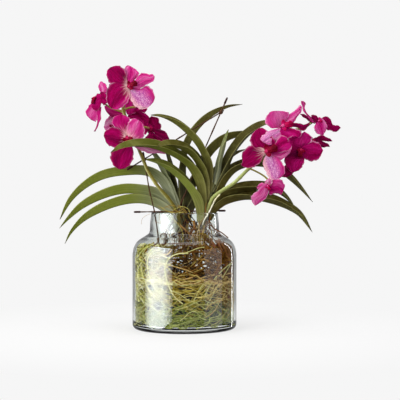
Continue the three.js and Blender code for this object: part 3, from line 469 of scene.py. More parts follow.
def tubes(batch, paths, radii, sides, tones):
    """Round bars along paths that all have the same number of points. Each bar has one colour, or one for
    each of its points."""
    bars, places = paths.shape[:2]
    radii = np.broadcast_to(radii, (bars, places))
    ahead = unit(np.gradient(paths, axis=1))
    steady = np.where(np.abs(ahead[:, 0, 2:]) < 0.9, [0, 0, 1], [1, 0, 0])
    normals = np.empty_like(paths)
    normals[:, 0] = unit(np.cross(ahead[:, 0], steady))
    for k in range(1, places):
        kept = normals[:, k - 1]
        normals[:, k] = unit(kept - ahead[:, k] * np.sum(kept * ahead[:, k], axis=1, keepdims=True))
    turns = 2 * np.pi * np.arange(sides) / sides
    ring = (np.cos(turns)[:, None] * normals[:, :, None]
            + np.sin(turns)[:, None] * np.cross(ahead, normals)[:, :, None])
    points = paths[:, :, None] + radii[:, :, None, None] * ring
    index = np.arange(bars * places * sides).reshape(bars, places, sides)
    turned = np.roll(index, -1, axis=2)
    quads = np.stack([index[:, :-1], turned[:, :-1], turned[:, 1:], index[:, 1:]], axis=-1)
    along = np.broadcast_to(np.linspace(0, 1, places)[None, :, None], index.shape)
    around = np.broadcast_to(np.arange(sides)[None, None] / sides, index.shape)
    if tones.ndim == 2:
        tones = np.broadcast_to(tones[:, None, None], (*index.shape, 3))
    batch.add(points, [quads.reshape(-1, 4), index[:, 0, ::-1], index[:, -1]],
              np.stack([along, around], axis=-1), tones)


def stations(kind):
    """The shares of the length at which a kind of round bar has its places."""
    return np.linspace(0, 1, ROUND[kind][0])


def bar(batch, kind, path, radii, tones):
    """One round bar, with one colour, one for each place along it, or one for each of its points."""
    sides = ROUND[kind][1]
    tones = tones[:, None] if tones.ndim == 2 else tones
    tubes(batch, path[None], radii, sides, np.broadcast_to(tones, (1, len(path), sides, 3)))


def faded(tints, share):
    """Colours from the first of two tints to the second."""
    return blend(linear(tints[0]), linear(tints[1]), share)


def shell(batch, middle, thickness, places, tones, back_tones=None):
    """A closed blade about a grid of points, with its front towards the grid's normals."""
    back_tones = tones if back_tones is None else back_tones
    rows, columns = middle.shape[:2]
    count = rows * columns
    normals = unit(np.cross(np.gradient(middle, axis=0), np.gradient(middle, axis=1)))
    offset = normals * (np.broadcast_to(thickness, (rows, columns))[..., None] / 2)
    front = np.arange(count).reshape(rows, columns)
    cells = np.stack([front[:-1, :-1], front[1:, :-1], front[1:, 1:], front[:-1, 1:]], axis=-1)
    cells = cells.reshape(-1, 4)
    edge = np.concatenate([front[:-1, 0], front[-1, :-1], front[:0:-1, -1], front[0, :0:-1]])
    after = np.roll(edge, -1)
    rim = np.stack([edge, edge + count, after + count, after], axis=-1)
    batch.add(np.stack([middle + offset, middle - offset]), [cells, cells[:, ::-1] + count, rim],
              np.stack([places, places]), np.stack([tones, back_tones]))


def revolved(batch, profile, sides, move, tones):
    """A closed turned body about +Z from a profile of radius and height, bottom first."""
    profile = np.asarray(profile, float)
    turns = 2 * np.pi * np.arange(sides) / sides
    ring = np.stack([np.cos(turns), np.sin(turns)], axis=-1)
    heights = np.broadcast_to(profile[:, None, 1:], (len(profile), sides, 1))
    points = np.concatenate([profile[:, None, :1] * ring, heights], axis=-1)
    index = np.arange(len(profile) * sides).reshape(len(profile), sides)
    after = np.roll(index, -1, axis=1)
    quads = np.stack([index[:-1], after[:-1], after[1:], index[1:]], axis=-1).reshape(-1, 4)
    places = np.stack([np.broadcast_to(np.linspace(0, 1, len(profile))[:, None], index.shape),
                       np.broadcast_to(np.arange(sides) / sides, index.shape)], axis=-1)
    batch.add(move(points), [quads, index[:1, ::-1], index[-1:]], places, tones)


def grid(size):
    """Shares along a blade, from 0 to 1, and across it, from -1 to 1."""
    return np.meshgrid(np.linspace(0, 1, size[0]), np.linspace(-1, 1, size[1]), indexing="ij")


def rays_through(pixels):
    """The directions in which the camera sees pixels of the photograph, one millimetre deep."""
    across, down = (np.array(pixels, float) - MIDDLE).T * PIXEL / -EYE[1]
    return np.stack([across, np.ones(len(across)), -down], axis=-1)


def seen_at_depth(pixels, depth):
    """The places at a depth in Y that the photograph shows at pixels."""
    return EYE + rays_through(pixels) * (depth - EYE[1])


def seen_on_wall(pixels, radius):
    """The places on a drum of some radius about the vase's axis that the photograph shows at pixels."""
    rays = rays_through(pixels)
    square = np.sum(rays[:, :2] ** 2, axis=1)
    half = rays[:, :2] @ EYE[:2]
    spare = half**2 - square * (EYE[:2] @ EYE[:2] - radius**2)
    return EYE + rays * ((-half - np.sqrt(np.maximum(spare, 0))) / square)[:, None]


def seen_on_plane(pixels, heights, at, axes):
    """The places in a bloom's frame, at heights over its middle, that the photograph shows at pixels."""
    rays = rays_through(pixels) @ axes.T
    start = (EYE - at) @ axes.T
    return start + rays * ((heights - start[2]) / rays[:, 2])[:, None]


def stem_ends(side):
    return (np.array(end, float) for end in STEMS[side])


def stem_at(side, height):
    foot, tip = stem_ends(side)
    return foot + (tip - foot) * (height - foot[2]) / (tip[2] - foot[2])


def leaf_line(side, heading, bend, path, t):
    """A leaf's middle line, and the level direction across its heading."""
    turn = math.radians(heading)
    outward = np.array([math.cos(turn), math.sin(turn), 0])
    across = np.array([-math.sin(turn), math.cos(turn), 0])
    origin = stem_at(side, path[0][1]) * [1, 1, 0]
    start, end = path[0][0], path[-1][0]
    points = []
    for out, up in path:
        aside = bend * max(0, (out - start) / (end - start)) ** 1.5
        points.append(origin + outward * out + across * aside + np.array([0, 0, up]))
    return spline(points, t), across


def leaf_colours(tint, u, v, seed):
    """A leaf's outer face: its tints from the base to the tip, pale streaks low down and a dry end."""
    base, blade, tip = (linear(colour) for colour in LEAF_TINTS[tint][:3])
    greened = smooth(0.14, 0.5, u + 0.07 * np.sin(31 * v + 3 * seed) * (1 - u))
    tones = blend(blend(base, blade, greened), tip, smooth(0.6, 0.95, u))
    streaks = np.clip(np.sin(19 * v + seed) + np.sin(43 * v + 2 * seed), 0, 1) * (1 - smooth(0.1, 0.42, u))
    tones = blend(tones, tones * LEAF["streak_light"], 0.5 * streaks)
    return blend(tones, linear(DRY_TIP), smooth(0.965, 0.98, u))


def leaf_section(side, width, u, v, seed):
    """How far each point of a leaf lies across and above its middle line, and how thick it is there."""
    t = u[:, 0]
    taper = (1 - np.minimum(t, 0.995) ** LEAF["taper"][side]) ** 0.85
    base_width = LEAF["base_width"][side]
    half = 0.5 * taper * (base_width + (width - base_width) * smooth(0, 0.32, t))
    fold = LEAF["base_fold"] + (LEAF["fold"] - LEAF["base_fold"]) * smooth(0.05, 0.4, t)
    fold = np.radians(fold + (LEAF["tip_fold"] - LEAF["fold"]) * smooth(0.6, 1, t))
    keel = np.sqrt(v**2 + LEAF["keel"] ** 2) - LEAF["keel"]
    waves = LEAF["slow_wave"] * np.sin(9 * u + seed) * np.abs(v) ** 3 * np.sign(v)
    waves = waves + LEAF["quick_wave"] * np.sin(23 * u + 2 * seed) * v**2
    across = (half * np.cos(fold))[:, None] * v
    above = (half * np.sin(fold))[:, None] * (keel - 0.5) + waves * smooth(0, 0.3, u)
    thickness = LEAF["thickness"] + LEAF["rib"] * hump(v, LEAF["rib_width"]) * (1 - 0.5 * u)
    return across, above + LEAF["lift"], thickness * np.maximum(taper, LEAF["thin_tip"])[:, None]


def leaf(name, seed):
    side, heading, bend, roll, width, tint, path = LEAVES[name]
    u, v = grid(LEAF_GRID)
    t = u[:, 0]
    centre, level = leaf_line(side, heading, bend, path, t)
    tangent = unit(np.gradient(centre, axis=0))
    sideways = unit(level - tangent * (tangent @ level)[:, None])
    late = LEAF["late_turn"] if side == "right" and roll > 0 else 0
    turn = np.radians(roll * (smooth(0.12, 0.5, t) + late * smooth(0.6, 1, t)))[:, None]
    wide = sideways * np.cos(turn) + np.cross(tangent, sideways) * np.sin(turn)
    tall = np.cross(tangent, wide)
    across, above, thickness = leaf_section(side, width, u, v, seed)
    middle = centre[:, None] + wide[:, None] * across[..., None] + tall[:, None] * above[..., None]
    tones = leaf_colours(tint, u, v, seed)
    batch = Batch()
    # The inner face takes the tint's fourth value, a painted shade inside the fold
    shell(batch, middle, thickness, np.stack([u, v], axis=-1), tones * LEAF_TINTS[tint][3], tones)
    batch.piece(f"{name}_blade", "leaf", "leaf", [name])


PINKS = ((0, (92, 0, 40)), (0.15, (128, 0, 56)), (0.3, (156, 0, 78)), (0.5, (188, 20, 114)),
         (0.7, (208, 72, 148)), (0.85, (226, 130, 184)), (1.0, (240, 188, 214)))
# The petals' own cream, lilac and heart colours, and the pale pink of the painted highlight along their rims
PETAL_TINTS = {"cream": (250, 216, 208), "lilac": (232, 200, 232), "rim": (244, 190, 220),
               "heart": (150, 20, 70)}
TEPAL = {"edge": 0.35, "body": 0.5, "cup": 2.4, "wave": 1.5, "crease": 0.9, "crease_width": 0.14,
         "folds": 0.7}


def pink(tone):
    """The petal's colour for a tone."""
    return read_off(tone, [stop for stop, _ in PINKS], np.array([linear(colour) for _, colour in PINKS]))


def tepal_edges(look, at, axes, t):
    """A tepal's two edges in the bloom's frame. The second one ends where the first one does."""
    edges = []
    for edge in (look["first"], [*look["second"], look["first"][-1]]):
        share = lengths(np.array(edge))
        heights = look["layer"] + look["lift"] * share / share[-1]
        edges.append(spline(seen_on_plane(edge, heights, at, axes), t)[:, None])
    return edges


def tepal_middle(look, at, axes, u, v, seed):
    """A tepal's grid of points: cupped, creased, folded and ruffled between its two edges."""
    first, second = tepal_edges(look, at, axes, u[:, 0])
    hand = np.sign(v)
    ruffle = 0.02 * np.sin(33 * u + 2 * seed + 2 * hand) + 0.012 * np.sin(59 * u + seed)
    ruffle = ruffle * smooth(0.2, 0.4, u) * (1 - smooth(0.85, 1, u)) * v**2
    middle = first + (second - first) * (0.5 + (0.5 + ruffle) * v)[..., None]
    cup = TEPAL["cup"] * np.sin(3.0 * u) * (1 - v**2)
    waves = np.sin(9 * u + 2.1 * seed + 1.5 * hand) + 0.5 * np.sin(21 * u + seed * hand)
    waves = TEPAL["wave"] * np.abs(v) ** 3 * smooth(0.1, 0.5, u) * waves
    crease = TEPAL["crease"] * hump(v, TEPAL["crease_width"]) * (1 - 0.6 * u)
    folds = TEPAL["folds"] * np.sin(11 * v + 2 * np.sin(3 * u + seed)) * u * (1 - np.abs(v))
    middle[..., 2] += cup + waves - crease + folds
    return middle


def tepal_colours(look, u, v, seed):
    """A tepal's colours, with the strength of its net of veins as their fourth value."""
    # The tones across the tepal give its own colour together with painted light and shade
    shade = np.interp(v, (-1, 0, 1), look["tones"])
    shade = shade + 0.07 * np.sin(5 * v + 4 * u + seed) + 0.06 * np.sin(9 * u * v + 2 * seed)
    shade = shade + 0.05 * np.sin(17 * v + 9 * u + 3 * seed) * np.sin(11 * u - 5 * v)
    streaks = (0.5 + 0.5 * np.sin(30 * v + 2 * np.sin(5 * u + seed)) * np.sin(9 * v + seed)) ** 1.6
    colours = pink(np.clip(shade - 0.1 * streaks * (1 - u), 0, 1))
    hazed = 0.9 * look["net"] * hump(v + 0.2, 0.5) * (1 - 0.4 * u)
    colours = blend(colours, linear(PETAL_TINTS["lilac"]), hazed)
    reach = np.maximum(look["glow"] * (1 + 0.8 * look["side"] * v), 0.01)
    glow = (1 - smooth(0.15 * reach, reach * (0.35 + 0.85 * streaks), u)) * min(1, 3 * look["glow"])
    banded = look["strip"] * smooth(0.5, 0.8, -v) * smooth(0.05, 0.2, u)
    paled = np.clip(0.85 * np.maximum(glow, banded), 0, 1)
    colours = blend(colours, linear(PETAL_TINTS["cream"]), paled)
    # Painted highlight: a pale rim along the edges and the tip
    rim = np.maximum(smooth(0.86, 0.96, np.abs(v)), smooth(0.96, 0.99, u)) * smooth(0.15, 0.4, u)
    rim = np.clip(1.1 * look["rim"] * rim * (0.75 + 0.25 * np.sin(17 * u + seed)), 0, 0.9)
    colours = blend(colours, linear(PETAL_TINTS["rim"]), rim)
    net = np.clip(0.12 + 0.9 * look["net"] * np.exp(-(((v + 0.1) / 0.75) ** 4)), 0, 1)
    return np.concatenate([colours, net[..., None]], axis=-1)


def tepal(look, at, axes, seed):
    """A tepal in the bloom's frame: its grid of points, thickness, places and colours."""
    u, v = grid(PETAL_GRID)
    u = np.sin(0.49 * np.pi * u)
    v = 0.5 * v + 0.5 * np.sin(0.5 * np.pi * v)
    thickness = TEPAL["edge"] + TEPAL["body"] * (1 - np.abs(v)) * (1 - 0.6 * u)
    return (tepal_middle(look, at, axes, u, v, seed), thickness, np.stack([u, v], axis=-1),
            tepal_colours(look, u, v, seed))


def bloom_axes(face):
    """A bloom's own axes: right, up and out of its face."""
    facing = unit(np.array(face, float))
    right = unit(np.cross([0, 0, 1], facing))
    return np.stack([right, np.cross(facing, right), facing])


# The bloom's heart, which joins its tepals behind the lip: radius and height out of its face
HEART = [(0.3, -BLOOM_BACK), (1.6, -BLOOM_BACK), (2.0, -5), (2.6, -3.4), (4.6, -2.6), (5.4, -0.6),
         (5.0, 1.2), (3.2, 2.4), (0.3, 2.9)]


def bloom(side, number):
    plan = BLOOMS[side][number]
    at = np.array(plan["at"], float)
    flat = bloom_axes(plan["plane"])
    batch = Batch()
    for k, look in enumerate(plan["tepals"]):
        points, thickness, places, tones = tepal(look, at, flat, number + 2 * k)
        shell(batch, points @ flat + at, thickness, places, tones)

    def move(points):
        return points @ bloom_axes(plan["face"]) + at

    revolved(batch, HEART, 14, move, linear(PETAL_TINTS["heart"]))
    name = f"{side}_{number + 1}"
    batch.piece(f"bloom_{name}_tepals", "petal", "petal", [f"bloom_{name}"])
    if plan["lip"]:
        bloom_lip(f"lip_{name}", move, *plan["lip"], number)


LIP_TINTS = {
    "dark": {"tongue": (112, 0, 30), "root": (140, 4, 46), "lobe": (150, 10, 56), "column": (190, 40, 90)},
    "bright": {"tongue": (176, 0, 70), "root": (196, 20, 96), "lobe": (206, 30, 120),
               "column": (222, 90, 150)},
}
LIP = {"foot": 3.6, "tongue_grid": (22, 11), "lobe_grid": (12, 9), "lobe": 0.7, "edge": 0.7, "keel": 0.9}

# The column with its cap: radius and height out of the bloom's face
COLUMN = [(0.3, 3.6), (2.5, 3.7), (2.3, 5), (2.0, 7), (2.3, 8.4), (2.1, 9.6), (1.3, 10.4), (0.2, 10.7)]


def tongue(u, v):
    """The lip's middle lobe, shaped like a fiddle."""
    width = 2.7 + 1.0 * np.sin(3.1 * u) + 1.8 * smooth(0.55, 0.85, u)
    width = width * np.sqrt(np.maximum(0.05, 1 - smooth(0.8, 1.04, u)))
    y = 0.8 - 14.4 * u + 1.2 * hump(v, 0.3) * smooth(0.8, 1, u)
    z = 5.6 + 8.2 * u + 1.3 * np.sin(4 * u) - 1.4 * v**2 * (0.4 + u) + 0.5 * np.cos(9 * v) * (1 - u)
    return np.stack([-width * v, y, z], axis=-1)


def side_lobe(hand, u, v):
    """One of the lip's side lobes, which stand at the left and right of the column."""
    half = 2.9 * np.sin(np.pi * np.clip(0.15 + 0.8 * u, 0, 1)) + 0.2
    return np.stack([hand * (0.6 + 7.2 * u), -1.5 + hand * half * v, 8.0 + 2.6 * u**2 - 1.0 * v**2], axis=-1)


def bloom_lip(name, move, angle, size, tint, seed):
    """The lip: the column with its cap, the tongue and two side lobes."""
    tints = {part: linear(colour) for part, colour in LIP_TINTS[tint].items()}
    foot = np.array([0, 0, LIP["foot"]])
    turn = math.radians(angle + 90)
    axes = np.array([[math.cos(turn), math.sin(turn), 0], [-math.sin(turn), math.cos(turn), 0], [0, 0, 1]])

    def mount(points):
        return move(((points - foot) * size + foot) @ axes)

    batch = Batch()
    revolved(batch, COLUMN, 14, mount, tints["column"])
    u, v = grid(LIP["tongue_grid"])
    tones = blend(tints["root"], tints["tongue"], smooth(0.05, 0.5, u))
    tones = blend(tones, tints["tongue"] * 0.35, 0.8 * smooth(0.45, 0.75, u) * (1 - v**2))
    thickness = LIP["edge"] + LIP["keel"] * (1 - np.abs(v))
    shell(batch, mount(tongue(u, v)), thickness, np.stack([u, v], axis=-1), tones)
    u, v = grid(LIP["lobe_grid"])
    tones = blend(tints["lobe"], tints["tongue"], smooth(0.1, 0.9, u + 0.1 * math.sin(seed)))
    for hand in (-1, 1):
        shell(batch, mount(side_lobe(hand, u, v)), LIP["lobe"], np.stack([u, v], axis=-1), tones)
    batch.piece(f"{name}_parts", "lip", "lip", [name])


def bloom_stalk(batch, side, plan):
    """The short stalk from a spray's own stalk to the back of one of its blooms."""
    back = -unit(np.array(plan["face"], float))
    start = spline(STALKS[side], [plan["joins"]])[0]
    end = np.array(plan["at"], float) + back * BLOOM_BACK
    bend = plan["bend"]
    if bend is None:
        bend = end + back * 0.5 * np.linalg.norm(start - end)
    t = stations("bloom_stalk")
    s = t[:, None]
    path = start * (1 - s) ** 2 + 2 * np.array(bend) * s * (1 - s) + end * s**2
    radii = STALK["pedicel"] * (1 + 0.35 * smooth(0.55, 1, t))
    bar(batch, "bloom_stalk", path, radii, faded(STALK_TINTS["short"], smooth(0.7, 1, t)))


def stalk(side):
    t = stations("stalk")
    radii = STALK["foot"] + (STALK["tip"] - STALK["foot"]) * t
    radii = radii * (1 - 0.5 * smooth(0.93, 1, t))
    for knot in (*(plan["joins"] for plan in BLOOMS[side]), *STALK["knots"]):
        radii = radii + STALK["knot"] * hump(t - knot, STALK["knot_length"])
    sides = ROUND["stalk"][1]
    # Painted light and shade: one side of the stalk is paler and the other darker, at a fixed turn round it
    around = 0.5 + 0.5 * np.cos(2 * np.pi * np.arange(sides) / sides + 2.2)
    tones = faded(STALK_TINTS[side], smooth(0.35, 0.85, around))
    # Low down, the stalk takes the darker tint all round
    tones = blend(tones[None], linear(STALK_TINTS[side][1]), (1 - smooth(0.15, 0.35, t))[:, None])
    tones = blend(tones, linear(STALK_TINTS["foot"]), (1 - smooth(0.08, 0.2, t))[:, None])
    batch = Batch()
    bar(batch, "stalk", spline(STALKS[side], t), radii, tones)
    for plan in BLOOMS[side]:
        bloom_stalk(batch, side, plan)
    batch.piece(f"stalk_{side}_fine", "flower_stalk", "stalk", [f"stalk_{side}"])


def stem(side, seed):
    foot, tip = stem_ends(side)
    t = stations("stem")
    radii = STEM_RADIUS * (1 + 0.05 * np.sin(40 * t + seed) + 0.03 * np.sin(87 * t))
    batch = Batch()
    bar(batch, "stem", foot + (tip - foot) * t[:, None], radii, faded(STEM_TINTS, smooth(0.4, 0.8, t)))
    batch.piece(f"stem_{side}_bark", "stem", "stem", [f"stem_{side}"])


def stick(name, seed):
    """A thin knotty stick, with a wider cap on some of its ends."""
    path, caps = STICKS[name]
    rng = np.random.default_rng(seed)
    length = lengths(spline(path, [0, 0.5, 1]))[-1]
    share = STICK["cap_length"] / length
    edges = [edge for has_cap, edge in zip(caps, (share, 1 - share)) if has_cap]
    steps = [edge + side * STICK["step"] for edge in edges for side in (-1, 1)]
    t = np.unique(np.concatenate([stations("stick"), steps]))
    capped = (caps[0] & (t < share)) | (caps[1] & (t > 1 - share))
    knots = 0.12 * np.sin(31 * t + seed) + 0.08 * np.sin(73 * t) + 0.05 * rng.standard_normal(len(t))
    cap = STICK["cap_radius"] * (1 - 0.04 * np.sin(200 * t))
    radii = np.where(capped, cap, STICK["radius"] * (1 + knots))
    radii = radii * np.sqrt(np.clip(np.minimum(t, 1 - t) * length / STICK["rounding"], 0.35, 1))
    tones = np.where(capped[:, None], linear(STICK["cap_tint"]), linear(STICK["tint"]))
    batch = Batch()
    bar(batch, "stick", spline(path, t), radii, tones)
    batch.piece(f"{name}_bark", "stick", "stick", [name])


def tie(name, seed):
    """Turns of thin wire round two crossing sticks, with two short ends."""
    at, axis = TIES[name]
    axis = unit(np.array(axis))
    right = unit(np.cross(axis, [0, 1, 0]))
    front = np.cross(right, axis)
    t = stations("wire")
    turn = 2 * np.pi * TIE["turns"] * t + seed
    coil = (np.array(at) + TIE["radius"] * (np.outer(np.cos(turn), right) + np.outer(np.sin(turn), front))
            + TIE["spread"] * np.outer(np.sin(2 * np.pi * t + seed), axis))
    batch = Batch()
    tint = linear(TIE["tint"])
    bar(batch, "wire", coil, TIE["wire"], tint)
    for hand, start in ((-1, coil[0]), (1, coil[-1])):
        tail = [start, start + right * 2 * hand + axis * 1.5, start + (right * 3.5 + axis * 3.6) * hand]
        bar(batch, "wire_end", spline(tail, stations("wire_end")), TIE["end_wire"], tint)
    batch.piece(f"{name}_wire", "tie", "tie", [name])


def on_wall(turn, height, radius):
    """Points about the vase's axis from turns in radians, heights and radii."""
    return np.stack([radius * np.cos(turn), radius * np.sin(turn), height], axis=-1)


def inside_radius(height):
    return np.interp(height, *INSIDE)


def kept_inside(paths, gap):
    """Paths drawn in where they would come nearer than a gap to the inside of the glass."""
    reach = np.linalg.norm(paths[..., :2], axis=-1)
    limit = inside_radius(paths[..., 2]) - gap
    paths[..., :2] *= np.minimum(1, limit / np.maximum(reach, TINY))[..., None]
    return paths


def long_root(name, seed):
    turns, heights = np.array(LONG_ROOTS[name], float).T
    drawn = LONG_ROOT["drawn"] * np.maximum(0, heights - LONG_ROOT["above"]) ** 2
    t = stations("long_root")
    radii = ROOT_RADIUS * (0.92 + 0.06 * np.sin(21 * t + seed)) * (1 - 0.35 * smooth(0.7, 1, t))
    tones = faded(LONG_ROOT["tints"], 0.5 + 0.5 * np.sin(9 * t + seed))
    batch = Batch()
    line = spline(on_wall(np.radians(turns), heights, WALL_REACH - drawn), t)
    bar(batch, "long_root", line, radii, tones)
    batch.piece(f"{name}_fine", "pale_root", "root", [name])


def aerial_root():
    t = stations("aerial_root")
    radii = ROOT_RADIUS * (1 + 0.12 * np.sin(37 * t)) * (1 - 0.45 * smooth(0.8, 1, t))
    batch = Batch()
    bar(batch, "aerial_root", spline(AERIAL_ROOT, t), radii, faded(AERIAL_TINTS, smooth(0.1, 0.5, t)))
    batch.piece("aerial_root_fine", "pale_root", "root", ["aerial_root"])


# The fill's colours from the gaps, in painted shade, to the palest strands, and the levels at which they
# stand
FILL_TINTS = {
    "green": ((22, 28, 0), (70, 84, 2), (116, 128, 28), (180, 186, 108)),
    "gold": ((46, 32, 0), (112, 92, 2), (164, 142, 38), (220, 206, 124)),
    "yellow": ((80, 80, 6), (178, 178, 72), (232, 230, 146), (252, 250, 206)),
    "brown": ((30, 16, 0), (104, 66, 16), (162, 116, 50), (232, 198, 126)),
}
FILL_LEVELS = (0, 0.33, 0.67, 1)

# Where the fill turns yellow, green and brown, from nothing to all, and how far a strand strays from that
FILL_ZONES = {"left": (-42, -70), "right": (40, 66), "low": (56, 34), "high": (86, 100), "across": 6,
              "up": 7}


def fill_tones(rng, points, levels):
    """Colours for strands: from their places, and from levels of 0, a gap in painted shade, to 1, the palest
    strand.
    """
    x, z = points[:, 0], points[:, 2] + rng.normal(0, FILL_ZONES["up"], len(points))
    left = smooth(*FILL_ZONES["left"], x + rng.normal(0, FILL_ZONES["across"], len(points)))
    low = smooth(*FILL_ZONES["low"], z)
    high = smooth(*FILL_ZONES["high"], z) * (1 - left)
    shares = {
        "green": low * (1 - 0.5 * left),
        "gold": (1 - low) * (1 - high) * (1 - left),
        "yellow": left * (1 - 0.5 * low),
        "brown": np.maximum((1 - low) * high, 1.6 * smooth(*FILL_ZONES["right"], x) * (1 - low)),
    }
    tones = np.zeros((len(points), 3))
    for kind, share in shares.items():
        stops = np.array([linear(colour) for colour in FILL_TINTS[kind]])
        tones += read_off(levels, FILL_LEVELS, stops) * share[:, None]
    return tones / sum(shares.values())[:, None]


def folded(heights, low, high):
    """Heights turned back at two limits, so that a strand bends there."""
    return high - np.abs(high - low - np.abs(heights - low))


# A strand at the wall: its span in radians, its slope, and the waves aside, up and inward, as sizes
# and ranges
STRAND = {"span": (0.3, 1.3), "slope": 50, "sway": 0.04, "sways": (4, 11), "swing": (0.8, 4.2),
          "swings": (5, 18), "sink": 0.9, "sinks": (4, 14)}


def wall_strands(rng, count, low, high, depth, places=18):
    """Wavy fibres that run round the vase at some depths behind the glass."""
    def draw(first, last):
        return rng.uniform(first, last, (count, 1))

    t = np.linspace(0, 1, places)
    span = draw(*STRAND["span"])
    turn = draw(0, 2 * np.pi) + span * (t - 0.5)
    turn = turn + STRAND["sway"] * np.sin(draw(*STRAND["sways"]) * t + draw(0, 6))
    middle = draw(low, high)
    slope = rng.normal(0, STRAND["slope"], (count, 1)) * span
    swing = draw(*STRAND["swing"]) * np.sin(draw(*STRAND["swings"]) * t + draw(0, 6))
    height = np.clip(folded(middle + slope * (t - 0.5) + swing, low, high), low, high)
    sunk = draw(*depth) + STRAND["sink"] * (1 + np.sin(draw(*STRAND["sinks"]) * t))
    return on_wall(turn, height, inside_radius(height) - sunk)


# Layers of fibres behind the glass, from the deepest: share of all strands, depths, radii and levels. The
# deeper layers get lower levels, painted shade for their depth
FILL_LAYERS = (
    (0.38, (6.5, 12.0), (1.1, 1.8), (0.0, 0.1)),
    (0.44, (2.6, 5.2), (0.8, 1.3), (0.3, 0.85)),
    (0.18, (0.8, 1.6), (0.4, 0.75), (0.75, 1.0)),
)


def layered_strands(rng, batch, count, low, high):
    for share, depths, radii, levels in FILL_LAYERS:
        number = round(count * share)
        strands = wall_strands(rng, number, low, high, depths)
        middles = strands[:, strands.shape[1] // 2]
        tones = fill_tones(rng, middles, rng.uniform(*levels, number))
        tubes(batch, strands, rng.uniform(*radii, (number, 1)), 5, tones)


# Pale roots that lie against the glass, as pixels of the photograph from one end to the other
PALE = {"behind": 0.6, "gap": 1.4, "radii": (0.55, 0.8), "step": 0.08, "tint": (206, 204, 132)}
PALE_ROOTS = (
    [(205, 247.5), (198, 248.6), (191, 251), (184, 253.6)],
    [(151, 244), (145.5, 250), (143, 259), (143, 267), (145.5, 274), (150.5, 281), (157, 287), (164, 290)],
    [(134, 264), (138, 270), (144, 278), (152, 283)],
    [(137, 313), (142, 309), (147, 303), (153, 299)],
    [(175.5, 310), (183, 308), (193, 304), (203, 300), (210, 303), (218, 300)],
    [(180, 321), (185.5, 316.5), (189, 313), (194, 311.5), (198, 314), (200.5, 318), (206, 320)],
    [(172, 282), (182, 285.5), (193, 284), (204, 279)],
    [(204, 283), (198, 291.5), (193, 303)],
    [(235, 261), (228, 265), (220.5, 271.5), (214, 279), (209, 286.5), (204, 297)],
    [(230, 264), (224, 274), (218, 284), (213, 294), (207, 304)],
    [(139, 314), (146, 309), (154, 301), (160, 297)],
    [(170, 290), (179, 294), (188, 300), (196, 303), (205, 309)],
)

# Brown roots that stand a little way behind the glass, in the same way
UPRIGHT = {"behind": 2.5, "gap": 2.5, "radii": (1.2, 2.0), "step": 0.18, "tint": (122, 78, 44)}
UPRIGHT_ROOTS = (
    [(220.5, 242), (221, 254), (220, 266), (221, 279), (222, 292)],
    [(226, 243), (228, 256), (224, 269), (225, 284), (227, 297)],
    [(231, 246), (233, 258), (233, 274), (232, 290)],
    [(216, 241), (214, 251), (217, 262), (215, 275)],
    [(224, 241), (224, 250), (229, 262), (230, 280), (229, 300)],
)


def shaken(rng, places, size):
    """Small steps aside, each on its own."""
    return rng.normal(0, size, (places, 3))


def strayed(rng, places, size):
    """Small steps aside that add up along a root."""
    return np.cumsum(shaken(rng, places, size), axis=0)


def tangled(rng, count, low, high, spread, places=16):
    """Loose root paths that wander through the inside of the vase."""
    start = on_wall(rng.uniform(0, 2 * np.pi, count), rng.uniform(low, high, count),
                    LOOSE["reach"] * np.sqrt(rng.uniform(0, 1, count)))
    drift = rng.normal(0, 1, (count, 3)) * LOOSE["drift"]
    t = np.linspace(-0.5, 0.5, places)[None, :, None]
    paths = start[:, None] + unit(drift)[:, None] * t * spread * 2
    for rate in LOOSE["rates"]:
        size = rng.normal(0, 1, (count, 1, 3)) * LOOSE["bend"] * spread / rate
        paths = paths + size * np.sin(rate * np.pi * (t + rng.uniform(0, 2, (count, 1, 1))))
    paths[..., 2] = np.clip(folded(paths[..., 2], low, high), low, high)
    return kept_inside(paths, LOOSE["gap"])


def moss_fill():
    rng = np.random.default_rng(11)
    batch = Batch()
    low, high = FILL["bottom"] + 0.6, FILL["split"] + 4
    layered_strands(rng, batch, FILL["moss_count"], low, high)
    # The dark core is painted shade inside the strands
    core = [(0.5, low), (66, low), (73, low + 4), *MOSS_SHADE_CORE]
    revolved(batch, core, 48, np.asarray, linear(FILL["shade_core_tint"]))
    batch.piece("moss_fill_fibres", "moss", "fibre", ["moss_fill"])


# The tangle, as counts and ranges. Loose roots: count, radii, levels and spread. Strands that come up from
# the moss: count and reach. Strands at the left and right walls: count, side, least distance and levels.
LOOSE = {"reach": 86, "drift": (1, 1, 0.75), "bend": 0.3, "rates": (1.3, 2.4, 4.1), "gap": 2, "raised": 14}
WALL_STRANDS = {"depths": (1.5, 7), "radii": (0.6, 1.3), "below_top": 2}
TANGLE_LOOSE = ((58, (0.9, 1.5), (0.1, 0.5), 46), (90, (0.4, 0.8), (0.2, 1), 40))
TANGLE_LOW = ((110, 9), (54, 17), (16, 25))
TANGLE_WALLS = ((420, -1, 38, (0, 1)), (300, 1, 34, (0.1, 0.7)))


